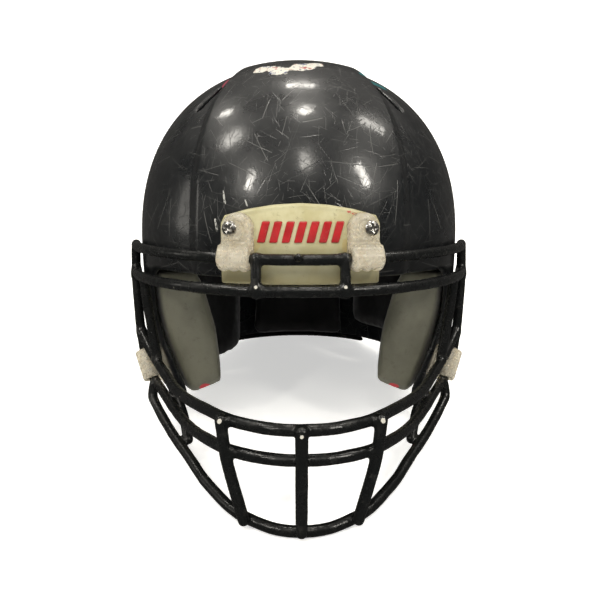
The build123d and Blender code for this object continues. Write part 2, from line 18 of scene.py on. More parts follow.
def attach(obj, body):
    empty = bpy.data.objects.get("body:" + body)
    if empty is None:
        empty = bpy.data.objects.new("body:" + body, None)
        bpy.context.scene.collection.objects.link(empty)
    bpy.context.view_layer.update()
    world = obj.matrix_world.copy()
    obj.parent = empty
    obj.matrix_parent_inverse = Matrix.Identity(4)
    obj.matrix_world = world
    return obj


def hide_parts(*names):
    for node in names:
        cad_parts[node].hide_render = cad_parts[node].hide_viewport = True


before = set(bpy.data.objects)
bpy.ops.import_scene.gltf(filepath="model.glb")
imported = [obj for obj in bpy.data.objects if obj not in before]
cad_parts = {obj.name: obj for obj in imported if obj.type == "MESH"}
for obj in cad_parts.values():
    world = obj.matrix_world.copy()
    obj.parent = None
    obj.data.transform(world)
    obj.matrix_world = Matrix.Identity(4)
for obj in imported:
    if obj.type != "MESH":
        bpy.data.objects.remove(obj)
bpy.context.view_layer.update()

# ---- dimensions, mm, as in part.py
LEAN = math.radians(9.14)
STAND = np.array([0.0, 31.0289, 122.844])  # dome's middle over the footprint's middle

HALF_WIDTH, FRONT_REACH, BACK_REACH = 118.0, 138.0, 148.0
CROWN_RISE, SIDE_DROP, FULLNESS = 125.5, 180.0, 2.25
SHELL_T = 4.2
BAND_RISE = 3.0
BROW_EDGE_Z, REAR_EDGE_Z = -16.0, -100.5
FACE_CUT = [
    (-400, -16, 0), (-66, -16, 24), (-60, -50, 30), (-70, -78, 30), (-71, -110, 13),
    (30, -103, 60), (100, -100.5, 60), (400, -100.5, 0), (400, -400, 0), (-400, -400, 0),
]  # y, z and corner radius, seen from the side
BAND_EDGE = [(67, -145), (65.5, -112), (56, -85), (47.5, -64), (41, -40), (37, 0), (36, 60), (38, 155)]
BAND_STEP = 8.0  # width of the slope at the band's edge
EAR_HOLE = (12.0, -42.0, 17.0)  # y, z and radius
VENT_WIDTH = 8.0
CROWN_VENTS = [(59.2, -69.8, 98, 25), (49, 62, 80, 25)]  # x, y, turn in degrees and length
REAR_VENTS = [(20, 34, 84, 24), (46, 34, 84, 24)]  # x, z, turn and length

WIRE_R, STUB_R, GRIP_GAP, CLIP_T = 3.3, 3.0, 0.12, 2.6
BUMPER_T, BUMPER_HALF, BUMPER_TOP, BUMPER_CROWN = 3.0, 46.0, 27.2, 7.4
TRIM_T, TRIM_HALF, TRIM_TOP = 2.4, 62.0, -78.0
SCREW_X, SCREW_Z = 37.4, 12.6
SIDE_SCREW = (-24.0, -94.0)
REAR_SCREW = (26.0, -90.0)
SHANK_R, HEAD_R, HEAD_T = 2.4, 4.7, 2.2
RECESS_DEPTH, RECESS_HALF, RECESS_REACH = 2.0, 0.75, 3.2  # cross recess of a screw
SIDES = {"left": 1, "right": -1}

# mask wires on the wearer's left, as bend corners
CORNER = (118.2, -37.0, -10.0)
SIDE_WIRE = [(118.6, -38, -28), (115.6, -43.5, -63), (111.3, -46.5, -91)]
LIP_WIRE = [
    (102, -57, -100), (84, -91, -108.5), (71, -119, -110),
    (57, -148, -107), (38, -177, -104.5), (14, -191, -104),
]
NOSE_WIRE = [
    (114.2, -44.5, -66), (106.5, -58, -75), (98, -74, -80.5), (86.5, -96, -86), (77, -117, -88.7),
    (66, -135.5, -89.3), (54, -152.5, -89), (38, -175, -88.3), (14, -192, -87.5),
]
CHIN_WIRE = [
    (104.5, -56.5, -102.5), (105.5, -58, -110.5), (97, -71, -119), (83.5, -94, -127.5),
    (70.5, -114, -133.5), (58.5, -134, -140.5), (36.5, -165, -146.5), (12, -178.5, -149.8),
]
INNER_WIRE = [(106.5, -67, -22), (102.8, -69.8, -50), (97, -75, -79.5)]
LINK_WIRE = [(94, -75, -85.5), (87, -76.5, -98), (79.5, -84, -112), (73, -100.5, -129)]
CENTRE_WIRE = [(0, -196.5, -84.5), (0, -197, -108), (0, -184.7, -149.4)]
UPRIGHT_WIRE = [(43.5, -175.5, -85), (40.5, -178.5, -108), (31, -174.5, -147.6)]
STUB_WIRE = [(24.9, -147.6, -1), (24.9, -152.4, -25)]
WELD_BUMP = (-1.5, -153.6, -2.4)  # where the top wire's ends were welded together
TOP_OVAL = (121.6, 149.5, -4.4)  # half width, reach and height
BROW_OVAL = (121.6, 153.5, -21.5)
OVAL_TURNS = (26, 41, 56, 69, 82)  # where the ovals bend, in degrees from the wearer's left
TOP_SIDE_RISE = 2.0

# raised bars on the bumper
BARS, BAR_PITCH, BAR_HALF_WIDTH, BAR_HALF_HEIGHT = 7, 7.0, 2.3, 6.0
BAR_Z, BAR_SLANT, BAR_RISE = 11.0, 1.6 / 6.0, 1.2

# clear clips
CLIP_HALF, WIRE_OUT = 9.4, 6.4  # half width of a brow clip, and the wire's middle off the bumper
LOBE_R, LOBE_PITCH, LOBE_DROP = 3.9, 6.4, 3.2  # scalloped foot of a brow clip
BOSS_R, DISH_R = 7.4, 5.6  # rim round a brow clip's screw, and the dish inside it
JAW_LOOP, JAW_LOOP_HALF = [(112.4, -45.6, -80.5), (106, -52.4, -96.5)], 11.0  # along the side wire
JAW_STRAP = [(-50, -80, 0), (-32, -84, 4), (-15, -86, 7), (-15, -102, 7), (-32, -104, 4), (-50, -104, 0)]
JAW_WEB = [(-50, -80, 0), (-38, -81, 0), (-38, -101, 0), (-52, -100, 0)]

# pads
LINER_T, NAPE_T, REAR_T = 22.0, 17.0, 24.0
PAD_GAP, JAW_GAP = 3.0, 2.8  # from the shell's inside
PAD_SHRINK, JAW_SHRINK = 1.2, 0.4  # how much smaller the pads start, before they are blown up
PAD_BOX = ((-118, -140, -104), (118, 150, 126))
JAW_BOX = ((40, -72, -118), (118, 32, -12))  # round the left jaw pad
JAW_FRONT = -66.0
JAW_SPREAD = 0.25  # how fast the pads' inner faces part, towards the back
JAW_CREASE = 6.0  # foot of a jaw pad up to the crease in its cover
JAW_FOOT = (53.4, -98.7), (80, -109.4)
PUFF_PRESSURE, PUFF_CAP, PUFF_FRAMES = 4.0, 1.6, 15  # the pads' cloth: pressure, furthest move, frames


# ---- places
def stand(points):
    """Row-frame metres of points given in the upright helmet's millimetres."""
    x, y, z = np.moveaxis(np.asarray(points, float), -1, 0)
    c, s = math.cos(LEAN), math.sin(LEAN)
    return (np.stack([x, y * c + z * s, z * c - y * s], -1) + STAND) / 1000


def lean(directions):
    """The same turn for directions."""
    x, y, z = np.moveaxis(np.asarray(directions, float), -1, 0)
    c, s = math.cos(LEAN), math.sin(LEAN)
    return np.stack([x, y * c + z * s, z * c - y * s], -1)


def unit(vector):
    return vector / norm(vector)


def level_scale(z, grow):
    """Size of the dome's level section at z, against its widest."""
    rise = (CROWN_RISE if z > 0 else SIDE_DROP) + grow
    return (1 - (abs(z) / rise) ** FULLNESS) ** (1 / FULLNESS)


def skin_y(x, z, grow, front=True):
    reach = (FRONT_REACH if front else BACK_REACH) + grow
    y = reach * math.sqrt(level_scale(z, grow) ** 2 - (x / (HALF_WIDTH + grow)) ** 2)
    return -y if front else y


def skin_x(y, z, grow):
    reach = (FRONT_REACH if y < 0 else BACK_REACH) + grow
    return (HALF_WIDTH + grow) * math.sqrt(level_scale(z, grow) ** 2 - (y / reach) ** 2)


def skin_z(x, y, grow):
    reach = (FRONT_REACH if y < 0 else BACK_REACH) + grow
    flat = (x / (HALF_WIDTH + grow)) ** 2 + (y / reach) ** 2
    return (CROWN_RISE + grow) * (1 - flat ** (FULLNESS / 2)) ** (1 / FULLNESS)


def skin_normal(point):
    """Unit normal of the dome's skin at a point."""
    step = 0.01 * np.eye(3)
    return unit(skin(point + step) - skin(point - step))


def skin_axes(point):
    """Point, level direction, upward direction and normal of the dome's skin there."""
    point = np.array(point, float)
    normal = skin_normal(point)
    level = unit(np.cross([0, 0, 1], normal))
    return point, level, np.cross(normal, level), normal


# ---- distance fields
def skin(p, grow=0.0):
    """Distance over the dome's skin grown by grow, negative inside."""
    x, y, z = p.T
    half = HALF_WIDTH + grow
    reach = np.where(y < 0, FRONT_REACH, BACK_REACH) + grow
    rise = np.where(z > 0, CROWN_RISE, SIDE_DROP) + grow
    flat = np.maximum((x / half) ** 2 + (y / reach) ** 2, 1e-6)
    tall = np.abs(z / rise)
    level = (flat ** (FULLNESS / 2) + tall**FULLNESS) ** (1 / FULLNESS)
    steep = flat ** (FULLNESS / 2 - 1)
    slope = (steep * x / half**2) ** 2 + (steep * y / reach**2) ** 2
    slope = np.sqrt(slope + (tall ** (FULLNESS - 1) / rise) ** 2)
    return (level - 1) / (slope * level ** (1 - FULLNESS))


def meet(a, b, soft=0.0):
    """Where both solids are, with their edge rounded by about soft."""
    if not soft:
        return np.maximum(a, b)
    h = np.maximum(soft - np.abs(a - b), 0) / soft
    return np.maximum(a, b) + h * h * soft / 4


def join(a, b, soft=0.0):
    return -meet(-a, -b, soft)


def cut(a, b, soft):
    return meet(a, -b, soft)


def rounded_outline(corners):
    """Closed outline of points (u, v) from corners (u, v, radius)."""
    outline = []
    for i, (u, v, radius) in enumerate(corners):
        here = np.array([u, v], float)
        if not radius:
            outline.append(here)
            continue
        before = unit(corners[i - 1][:2] - here)
        after = unit(corners[(i + 1) % len(corners)][:2] - here)
        half_angle = math.acos(np.clip(before @ after, -1, 1)) / 2
        centre = here + unit(before + after) * radius / math.sin(half_angle)
        reach = radius / math.tan(half_angle)
        start, end = here + before * reach - centre, here + after * reach - centre
        outline += [centre + unit(start * (1 - t) + end * t) * radius for t in np.linspace(0, 1, 9)]
    return np.array(outline)


def outline_distance(u, v, outline):
    """Distance in a plane from a closed outline, negative inside."""
    best = np.full(len(u), 1e12)
    inside = np.zeros(len(u), bool)
    for (au, av), (bu, bv) in zip(outline, np.roll(outline, -1, 0)):
        du, dv = bu - au, bv - av
        t = np.clip(((u - au) * du + (v - av) * dv) / (du * du + dv * dv), 0, 1)
        best = np.minimum(best, (u - au - t * du) ** 2 + (v - av - t * dv) ** 2)
        if dv:
            crosses = (v < av) != (v < bv)
            inside ^= crosses & (u < au + (v - av) * du / dv)
    return np.where(inside, -1, 1) * np.sqrt(best)


def in_axes(p, axes):
    origin, *directions = axes
    return [(p - origin) @ d for d in directions]


# ---- fields into meshes
BLOCK = 8  # grid points along a block, which is worked out only near the surface


def quads_of(field, low, high, step):
    """Points and quads round where the field is negative."""
    low, high = np.array(low, float), np.array(high, float)
    blocks = np.ceil((high - low) / (step * BLOCK)).astype(int)
    size = step * BLOCK
    index = np.stack(np.meshgrid(*[np.arange(n) for n in blocks], indexing="ij"), -1).reshape(-1, 3)
    middle = field(low + (index + 0.5) * size)
    near = np.abs(middle) < size * 1.15
    grid = np.empty((len(index), BLOCK**3), np.float32)
    grid[:] = np.sign(middle)[:, None] * 3 * step
    inner = np.stack(np.meshgrid(*[np.arange(BLOCK)] * 3, indexing="ij"), -1).reshape(-1, 3)
    for part in np.array_split(np.flatnonzero(near), max(1, int(near.sum() // 400))):
        points = low + index[part][:, None, :] * size + inner[None] * step
        grid[part] = field(points.reshape(-1, 3)).reshape(len(part), -1)
    grid = np.clip(grid, -3 * step, 3 * step)
    grid = grid.reshape(*blocks, BLOCK, BLOCK, BLOCK).transpose(0, 3, 1, 4, 2, 5).reshape(blocks * BLOCK)
    volume = openvdb.FloatGrid(3 * step)
    volume.copyFromArray(np.ascontiguousarray(grid))
    points, quads = volume.convertToQuads(0.0)
    return low + np.asarray(points, float) * step, np.asarray(quads)


def slope_of(field, points, reach=0.03):
    """Gradient of the field at points."""
    ends = [field(points + reach * np.eye(3)[i]) - field(points - reach * np.eye(3)[i]) for i in range(3)]
    return np.stack(ends, -1) / (2 * reach)


def settle(field, points, step, rounds=2):
    """Points moved on to the surface, and the surface's normals there."""
    for _ in range(rounds):
        slope = slope_of(field, points)
        square = np.maximum((slope**2).sum(1), 0.25)
        move = slope * (field(points) / square)[:, None]
        length = norm(move, axis=1, keepdims=True)
        points = points - move * np.minimum(1, step / np.maximum(length, 1e-9))
    slope = slope_of(field, points)
    return points, slope / np.maximum(norm(slope, axis=1, keepdims=True), 1e-9)


def scene_object(name, data):
    thing = bpy.data.objects.new(name, data)
    bpy.context.scene.collection.objects.link(thing)
    return thing


def mesh_object(name, points, faces, normals=None):
    """Object from upright millimetres, in place in the row frame."""
    mesh = bpy.data.meshes.new(name)
    mesh.from_pydata(stand(points), [], faces.tolist())
    mesh.polygons.foreach_set("use_smooth", np.ones(len(mesh.polygons), bool))
    if normals is not None:
        mesh.normals_split_custom_set_from_vertices(lean(normals))
    return scene_object(name, mesh)


def outwards(points, quads):
    """Quads turned so that their normals point out."""
    a, b, c, d = (points[quads[:, i]] for i in range(4))
    volume = (a * (np.cross(b, c) + np.cross(c, d))).sum()
    return quads if volume > 0 else quads[:, ::-1]


def smooth_mesh(field, low, high, step):
    """Points, quads and normals on the surface of a field."""
    step *= 1
    points, quads = quads_of(field, low, high, step)
    points, normals = settle(field, points, step)
    return points, outwards(points, quads), normals


def solid(name, field, low, high, step, mirror=False):
    """Smooth piece of a field. A mirrored one is made from the left piece's field."""
    points, quads, normals = smooth_mesh(field, low, high, step)
    if mirror:
        points, normals, quads = points * [-1, 1, 1], normals * [-1, 1, 1], quads[:, ::-1]
    return mesh_object(name, points, quads, normals)


def finish_node(piece, material):
    """Gives a piece, or a CAD node that stays, its material."""
    piece.data.materials.clear()
    piece.data.materials.append(material)


def dress(piece, material, nodes, body="helmet"):
    """Gives a piece its material, its CAD nodes and its body."""
    finish_node(piece, material)
    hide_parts(*nodes)
    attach(piece, body)


# ---- shell
def band_edge_table():
    """Half width of the raised band along y, smoothed."""
    edge_x, edge_y = np.array(BAND_EDGE, float).T
    y = np.arange(-220.0, 220.0)
    window = np.hanning(31)
    padded = np.pad(np.interp(y, edge_y, edge_x), len(window) // 2, mode="edge")
    return y, np.convolve(padded, window / window.sum(), mode="valid")


BAND_TABLE = band_edge_table()


def band_lift(p):
    """How far the raised band lifts the skin: a soft step at its edge."""
    edge = np.interp(p[:, 1], *BAND_TABLE)
    t = np.clip((edge + 0.35 * BAND_STEP - np.abs(p[:, 0])) / BAND_STEP, 0, 1)
    return BAND_RISE * t * t * (3 - 2 * t)


def slot_field(p, point, turn, length):
    """Distance from a rounded slot through the skin at a point."""
    across, up, depth = in_axes(p, skin_axes(point))
    c, s = math.cos(math.radians(turn)), math.sin(math.radians(turn))
    long, wide = across * c + up * s, up * c - across * s
    run = (length - VENT_WIDTH) / 2
    flat = np.hypot(long - np.clip(long, -run, run), wide) - VENT_WIDTH / 2
    return meet(flat, np.abs(depth) - 16)


def vent_places():
    """Each slot on the wearer's left as (point, turn, length)."""
    crown = [((x, y, skin_z(x, y, 0)), turn, length) for x, y, turn, length in CROWN_VENTS]
    return crown + [((x, skin_y(x, z, 0, False), z), turn, length) for x, z, turn, length in REAR_VENTS]


FACE_OUTLINE = rounded_outline(FACE_CUT)


def shell_field(p):
    """Wall with its band, less the face opening, ear holes and slots, which are worked out near it only."""
    wall = meet(skin(p) - band_lift(p), -skin(p, -SHELL_T))
    near = np.flatnonzero(np.abs(wall) < 20)
    q = p[near]
    value = wall[near]
    value = cut(value, outline_distance(q[:, 1], q[:, 2], FACE_OUTLINE), 3.0)
    y, z, r = EAR_HOLE
    value = cut(value, meet(np.hypot(q[:, 1] - y, q[:, 2] - z) - r, 60 - np.abs(q[:, 0])), 2.6)
    half = np.abs(q) * [1, 0, 0] + q * [0, 1, 1]
    for place, turn, length in vent_places():
        value = cut(value, slot_field(half, place, turn, length), 1.8)
    wall[near] = value
    return wall


# ---- face mask
def rounded_path(corners, share=0.45):
    """Smooth path of points: straight runs with a curve at each corner."""
    corners = [np.array(c, float) for c in corners]
    path = [corners[0]]
    for before, here, after in zip(corners, corners[1:], corners[2:]):
        reach = share * min(norm(here - before), norm(after - here))
        start, end = here + unit(before - here) * reach, here + unit(after - here) * reach
        for t in np.linspace(0, 1, 5):
            path.append(start * (1 - t) ** 2 + here * 2 * t * (1 - t) + end * t**2)
    return np.array(path + [corners[-1]])


def trimmed(path, radius):
    """Path shortened at its free ends, whose round caps then reach as far as a cut wire would."""
    path = path.copy()
    for end, inner in ((-1, -2), (0, 1)):
        path[end] += unit(path[inner] - path[end]) * 0.8 * radius
    return path


def both_sides(half):
    return list(half) + [(-x, y, z) for x, y, z in reversed(half)]


def mirrored(path):
    return np.array(path) * [-1, 1, 1]


def oval_corners(oval, rise=0.0):
    """Corners round an oval's front left quarter, outside it, so that curves between them follow it."""
    half_width, reach, level = oval
    corners = []
    for i, turn in enumerate(OVAL_TURNS):
        near = OVAL_TURNS[min(i + 1, len(OVAL_TURNS) - 1)] - turn or turn - OVAL_TURNS[i - 1]
        out = 1 / math.cos(math.radians(near / 2))
        x = half_width * out * math.cos(math.radians(turn))
        y = -reach * out * math.sin(math.radians(turn))
        corners.append((x, y, level + rise * math.cos(math.radians(turn))))
    return corners


def between(a, b, t=0.5):
    return tuple(np.array(a) * (1 - t) + np.array(b) * t)


def mask_paths():
    """Every wire of the mask as (path, radius)."""
    top_ends = [between(CORNER, SIDE_WIRE[0], 0.8), (CORNER[0], CORNER[1], TOP_OVAL[2] + 3.0)]
    top = rounded_path(both_sides(top_ends + oval_corners(TOP_OVAL, TOP_SIDE_RISE)), 0.42)
    brow_end = (CORNER[0], CORNER[1], BROW_OVAL[2])
    brow = rounded_path(both_sides([brow_end] + oval_corners(BROW_OVAL)), 0.42)
    butt = between(SIDE_WIRE[-1], LIP_WIRE[0])
    side, lip = rounded_path([top_ends[0]] + SIDE_WIRE + [butt]), rounded_path(both_sides([butt] + LIP_WIRE))
    wires = [(top, WIRE_R), (brow, WIRE_R), (lip, WIRE_R)]
    wires += [(rounded_path(both_sides(half)), WIRE_R) for half in (NOSE_WIRE, CHIN_WIRE)]
    wires.append((trimmed(rounded_path(CENTRE_WIRE), WIRE_R), WIRE_R))
    stub = trimmed(rounded_path(STUB_WIRE), STUB_R)
    for path, radius in ((side, WIRE_R), (stub, STUB_R)):
        wires += [(path, radius), (mirrored(path), radius)]
    for corners in (INNER_WIRE, LINK_WIRE, UPRIGHT_WIRE):
        path = trimmed(rounded_path(corners), WIRE_R)
        wires += [(path, WIRE_R), (mirrored(path), WIRE_R)]
    return wires


MASK_WIRES = mask_paths()


def path_distance(p, path):
    best = np.full(len(p), 1e9)
    for a, b in zip(path, path[1:]):
        run = b - a
        square = run @ run
        if square < 1e-9:
            continue
        offset = p - a
        t = np.clip(offset @ run / square, 0, 1)
        best = np.minimum(best, ((offset - t[:, None] * run) ** 2).sum(1))
    return np.sqrt(best)


def wires_field(p, wires, grow, weld=0.0):
    """Distance from a set of wires, with fillets of about weld where they meet, near the wires only."""
    field = np.full(len(p), 60.0)
    margin = 14.0
    for path, radius in wires:
        close = ((p > path.min(0) - margin) & (p < path.max(0) + margin)).all(1)
        near = np.flatnonzero(close)
        if not len(near):
            continue
        rough = np.full(len(near), 1e9)
        stations = path[:: max(1, len(path) // 12)]
        for station in stations:
            rough = np.minimum(rough, ((p[near] - station) ** 2).sum(1))
        spacing = max(norm(np.diff(stations, axis=0), axis=1), default=0)
        near = near[rough < (spacing + 2 * margin) ** 2]
        if len(near):
            field[near] = join(field[near], path_distance(p[near], path) - radius - grow, weld)
    return field


def lumps(p, size):
    """Slow waves from -1 to 1, for a coating that isn't quite even."""
    a = np.sin(p[:, 0] / size + 1.3 * np.sin(p[:, 2] / (1.7 * size)))
    b = np.sin(p[:, 1] / (0.8 * size) + 0.9 * np.sin(p[:, 0] / (1.3 * size)))
    c = np.sin(p[:, 2] / (1.2 * size) + 1.1 * np.sin(p[:, 1] / (1.5 * size)))
    return (a + b + c) / 3


def mask_field(p):
    """All the wires with their welds, under an uneven coating."""
    field = wires_field(p, MASK_WIRES, 0.0, 2.6)
    field = join(field, norm(p - WELD_BUMP, axis=1) - 2.3, 2.2)
    return field - 0.14 * lumps(p, 3.1)


# ---- trim
def bumper_outline():
    last = BUMPER_HALF - 1.0
    turns = (0.97, 0.67, 0.33, 0, -0.33, -0.67, -0.97)
    arch = [(last * t, BUMPER_TOP - BUMPER_CROWN * t**2, 40 if abs(t) < 0.9 else 0) for t in turns]
    shoulder = BUMPER_TOP - BUMPER_CROWN - 1.3
    left = [(BUMPER_HALF, -40, 0), (BUMPER_HALF, shoulder - 3, 3)]
    right = [(-BUMPER_HALF, shoulder - 3, 3), (-BUMPER_HALF, -40, 0)]
    return rounded_outline(left + arch + right)


BUMPER_OUTLINE = bumper_outline()


def wrapped_trim(p, side, thick, edge_z, leg_top):
    """Trim over the shell's edge: outside plate, lip below and leg inside. side is its outline's field."""
    top = skin(p, BAND_RISE)
    bead = 0.5 * np.exp(-((side + 1.4) ** 2) / 1.6)
    trim = meet(top - thick - bead, side, 1.6)
    trim = meet(trim, -skin(p, -SHELL_T - 2.6), 1.2)
    trim = meet(trim, edge_z - thick - p[:, 2], 1.6)
    wall = meet(meet(top, -skin(p, -SHELL_T - 0.1)), edge_z - 0.1 - p[:, 2])
    above_leg = meet(skin(p, -SHELL_T), leg_top - p[:, 2])
    return cut(cut(trim, wall, 0.4), above_leg, 1.2)


def front_bumper_field(p):
    side = outline_distance(p[:, 0], p[:, 2], BUMPER_OUTLINE)
    side = meet(side, p[:, 1] + 20)
    return wrapped_trim(p, side, BUMPER_T, BROW_EDGE_Z, -5.0)


def rear_bumper_field(p):
    side = meet(np.abs(p[:, 0]) - TRIM_HALF, p[:, 2] - TRIM_TOP, 4.0)
    side = meet(side, 95 - p[:, 1])
    return wrapped_trim(p, side, TRIM_T, REAR_EDGE_Z, REAR_EDGE_Z - 1)


def emblem_field(p):
    """Raised slanting bars."""
    above = p[:, 2] - BAR_Z
    slant, ends = p[:, 0] - above * BAR_SLANT, np.abs(above) - BAR_HALF_HEIGHT
    bars = np.full(len(p), 1e3)
    for i in range(BARS):
        across = np.abs(slant - (i - BARS // 2) * BAR_PITCH) - BAR_HALF_WIDTH
        bars = np.minimum(bars, meet(across, ends, 0.8))
    raised = skin(p, BAND_RISE + BUMPER_T) - BAR_RISE
    return meet(meet(bars, raised, 0.9), -skin(p, BAND_RISE + BUMPER_T - 0.5))


# ---- clips
def top_clip_axes():
    """Middle of a brow clip's loop, and the directions along its wire and out from the bumper."""
    over = (SCREW_X, skin_y(SCREW_X, SCREW_Z, BAND_RISE + BUMPER_T), SCREW_Z)
    along = skin_axes(over)[1]
    wire_z = TOP_OVAL[2] + 0.5
    centre = np.array([SCREW_X, skin_y(SCREW_X, wire_z, BAND_RISE + BUMPER_T + WIRE_OUT), wire_z])
    return centre, along, np.cross(along, [0, 0, 1])


def top_clip_field(p):
    """Clear strap folded round the top wire, with a boss round its screw and a scalloped foot."""
    centre, along, out = top_clip_axes()
    u, o, w = (p - centre) @ along, (p - centre) @ out, p[:, 2] - centre[2]
    lift = SCREW_Z - centre[2]
    seat = BAND_RISE + BUMPER_T + 0.05
    from_screw = np.hypot(u, w - lift)
    boss, dish = np.clip(BOSS_R - from_screw, 0, 1), np.clip(DISH_R - from_screw, 0, 1)
    thick = 2 * CLIP_T + 0.35 * boss - 0.7 * dish
    tab = meet(np.hypot(u, np.maximum(w - lift, 0)) - CLIP_HALF, skin(p, seat) - thick, 2.2)
    tab = meet(tab, -w)
    ends = np.abs(u) - CLIP_HALF
    loop = meet(np.hypot(o, w) - WIRE_R - CLIP_T, ends, 1.8)
    web = meet(meet(np.abs(o + 1.0) - 3.75, np.abs(w - 4.0) - 4.0), ends, 1.8)
    body = join(join(tab, loop, 2.5), web, 2.0)
    for i in (-1, 0, 1):
        lobe = meet(np.hypot(u - i * LOBE_PITCH, w + LOBE_DROP) - LOBE_R, np.abs(o) - 2.2, 1.6)
        body = join(body, lobe, 0.8)
    body = cut(body, skin(p, seat), 0.6)
    return cut(body, wires_field(p, MASK_WIRES[:1], GRIP_GAP), 0.4)


def side_clip_field(p):
    """Clear strap from the jaw flap forward round the side wire."""
    upper, lower = np.array(JAW_LOOP)
    centre, down = (upper + lower) / 2, unit(lower - upper)
    run = (p - centre) @ down
    round_wire = norm(p - centre - run[:, None] * down, axis=1) - WIRE_R - CLIP_T - 1.0
    loop = meet(round_wire, np.abs(run) - JAW_LOOP_HALF, 1.8)
    side = outline_distance(p[:, 1], p[:, 2], rounded_outline(JAW_STRAP))
    tab = meet(skin(p, 0.2) - 2 * CLIP_T, side, 2.2)
    web = outline_distance(p[:, 1], p[:, 2], rounded_outline(JAW_WEB))
    web = meet(web, np.abs(p[:, 0] - skin_x(-45.5, -84, 0.3) - 5) - 5, 1.5)
    body = join(join(tab, loop, 3.0), web, 2.0)
    body = meet(body, 60 - p[:, 0])
    body = cut(body, skin(p, 0.2), 0.4)
    return cut(body, wires_field(p, MASK_WIRES, GRIP_GAP), 0.4)


# ---- fasteners
def screw_field(local, length):
    """Oval-head cross-recess screw, its head's underside at z 0. local is x, y, z of each point."""
    x, y, z = local
    r = np.hypot(x, y)
    ball = (HEAD_R**2 + HEAD_T**2) / (2 * HEAD_T)
    head = meet(np.hypot(r, z - HEAD_T + ball) - ball, -z, 0.5)
    shank = meet(r - SHANK_R + 0.15, meet(z - 0.5, -z - length, 0.4))
    floor = HEAD_T - RECESS_DEPTH
    arms = []
    for a, b in ((x, y), (y, x)):
        walls = meet(np.abs(a) - RECESS_HALF, np.abs(b) - RECESS_REACH)
        arms.append(meet(walls, floor + 0.4 * np.abs(b) - z))
    return join(cut(head, join(*arms, 0.5), 0.35), shank)


def screw_group(name, axes, seat, turns, length, nodes, material):
    """Both screws of a kind as one piece. axes and seat are the left one's, turns are both recesses'."""
    span = HEAD_R + 1.2
    points, quads, normals = smooth_mesh(
        lambda p: screw_field(p.T, length), (-span, -span, -length - 1), (span, span, HEAD_T + 1), 0.3
    )
    all_points, all_normals, all_quads = [], [], []
    for (origin, level, up, normal), turn in zip((axes, mirrored_axes(axes)), turns):
        c, s = math.cos(turn), math.sin(turn)
        turned = np.array([level * c + up * s, up * c - level * s, normal])
        all_quads.append(quads + len(points) * len(all_points))
        all_points.append(origin + normal * seat + points @ turned)
        all_normals.append(normals @ turned)
    piece = mesh_object(name, np.vstack(all_points), np.vstack(all_quads), np.vstack(all_normals))
    dress(piece, material, nodes)


def mirrored_axes(axes):
    origin, level, up, normal = (a * [-1, 1, 1] for a in axes)
    return origin, -level, up, normal


# ---- pads
def region(x=(-300, 300), y=(-300, 300), z=(-300, 300)):
    """Field of a box with the given limits."""
    def field(p, soft):
        value = np.full(len(p), -300.0)
        for i, (low, high) in enumerate((x, y, z)):
            value = meet(value, meet(low - p[:, i], p[:, i] - high), soft)
        return value
    return field


def hexagon(centre_y, radius, low_z):
    """Field of an upright hexagonal column above low_z."""
    def field(p, soft):
        value = low_z - p[:, 2]
        for turn in range(0, 180, 60):
            c, s = math.cos(math.radians(turn + 90)), math.sin(math.radians(turn + 90))
            across = np.abs(p[:, 0] * c + (p[:, 1] - centre_y) * s)
            value = meet(value, across - radius * math.cos(math.radians(30)), soft)
        return value
    return field


PADS = {
    "front_pad": (region(x=(-58, 58), y=(-300, -40), z=(-3, 38)), LINER_T),
    "back_pad": (region(x=(-50, 50), y=(60, 300), z=(-18, 58)), LINER_T),
    "crown_pad": (hexagon(6, 52, 60), LINER_T),
    "left_temple_pad": (region(x=(62, 300), y=(-52, 52), z=(-14, 52)), LINER_T),
    "right_temple_pad": (region(x=(-300, -62), y=(-52, 52), z=(-14, 52)), LINER_T),
    "nape_pad": (region(x=(-44, 44), y=(60, 300), z=(-100, -24)), NAPE_T),
    "left_rear_pad": (region(x=(50, 300), y=(34, 110), z=(-86, -24)), REAR_T),
    "right_rear_pad": (region(x=(-300, -52), y=(34, 110), z=(-107, -24)), REAR_T),
}  # each liner pad's place and thickness
JAW_OUTLINE = rounded_outline([
    (-66, -19, 7), (-14, -19, 9), (-14, -62, 12), (26, -72, 9), (26, -100, 9), (-60, -112, 3), (-66, -104, 3),
])  # y and z, seen from the side
JAW_FACE = rounded_outline(
    [(71, -12, 0), (56.6, -66, 30), (*JAW_FOOT[0], 3), (*JAW_FOOT[1], 0), (200, -157.7, 0), (200, -12, 0)]
)  # x and z of the inner edge and foot, on the front face


def pad_field(place, thick):
    """Liner pad following the shell's inside."""
    outer, inner = -SHELL_T - PAD_GAP - PAD_SHRINK, -SHELL_T - thick + PAD_SHRINK
    return lambda p: meet(meet(skin(p, outer), -skin(p, inner), 5.0), place(p, 10.0) + PAD_SHRINK, 7.0)


def jaw_pad_field(p):
    """Moulded pad whose inner face parts from the other pad's towards the back."""
    side = outline_distance(p[:, 1], p[:, 2], JAW_OUTLINE) + JAW_SHRINK
    body = meet(skin(p, -SHELL_T - JAW_GAP - JAW_SHRINK), side, 3.0)
    face_x = p[:, 0] - JAW_SPREAD * (p[:, 1] - JAW_FRONT)
    face = outline_distance(face_x, p[:, 2], JAW_FACE) + JAW_SHRINK
    (foot_x, foot_z), (far_x, far_z) = JAW_FOOT
    above = p[:, 2] - foot_z - (far_z - foot_z) / (far_x - foot_x) * (face_x - foot_x)
    depth = p[:, 1] - JAW_FRONT - JAW_SHRINK
    body = meet(body, face, 4.0)
    bead = meet(np.hypot(above - JAW_CREASE, depth - 0.3) - 1.0, body - 0.4)
    return join(meet(body, 0.8 * (JAW_CREASE - above) - depth, 0.8), bead, 0.8)


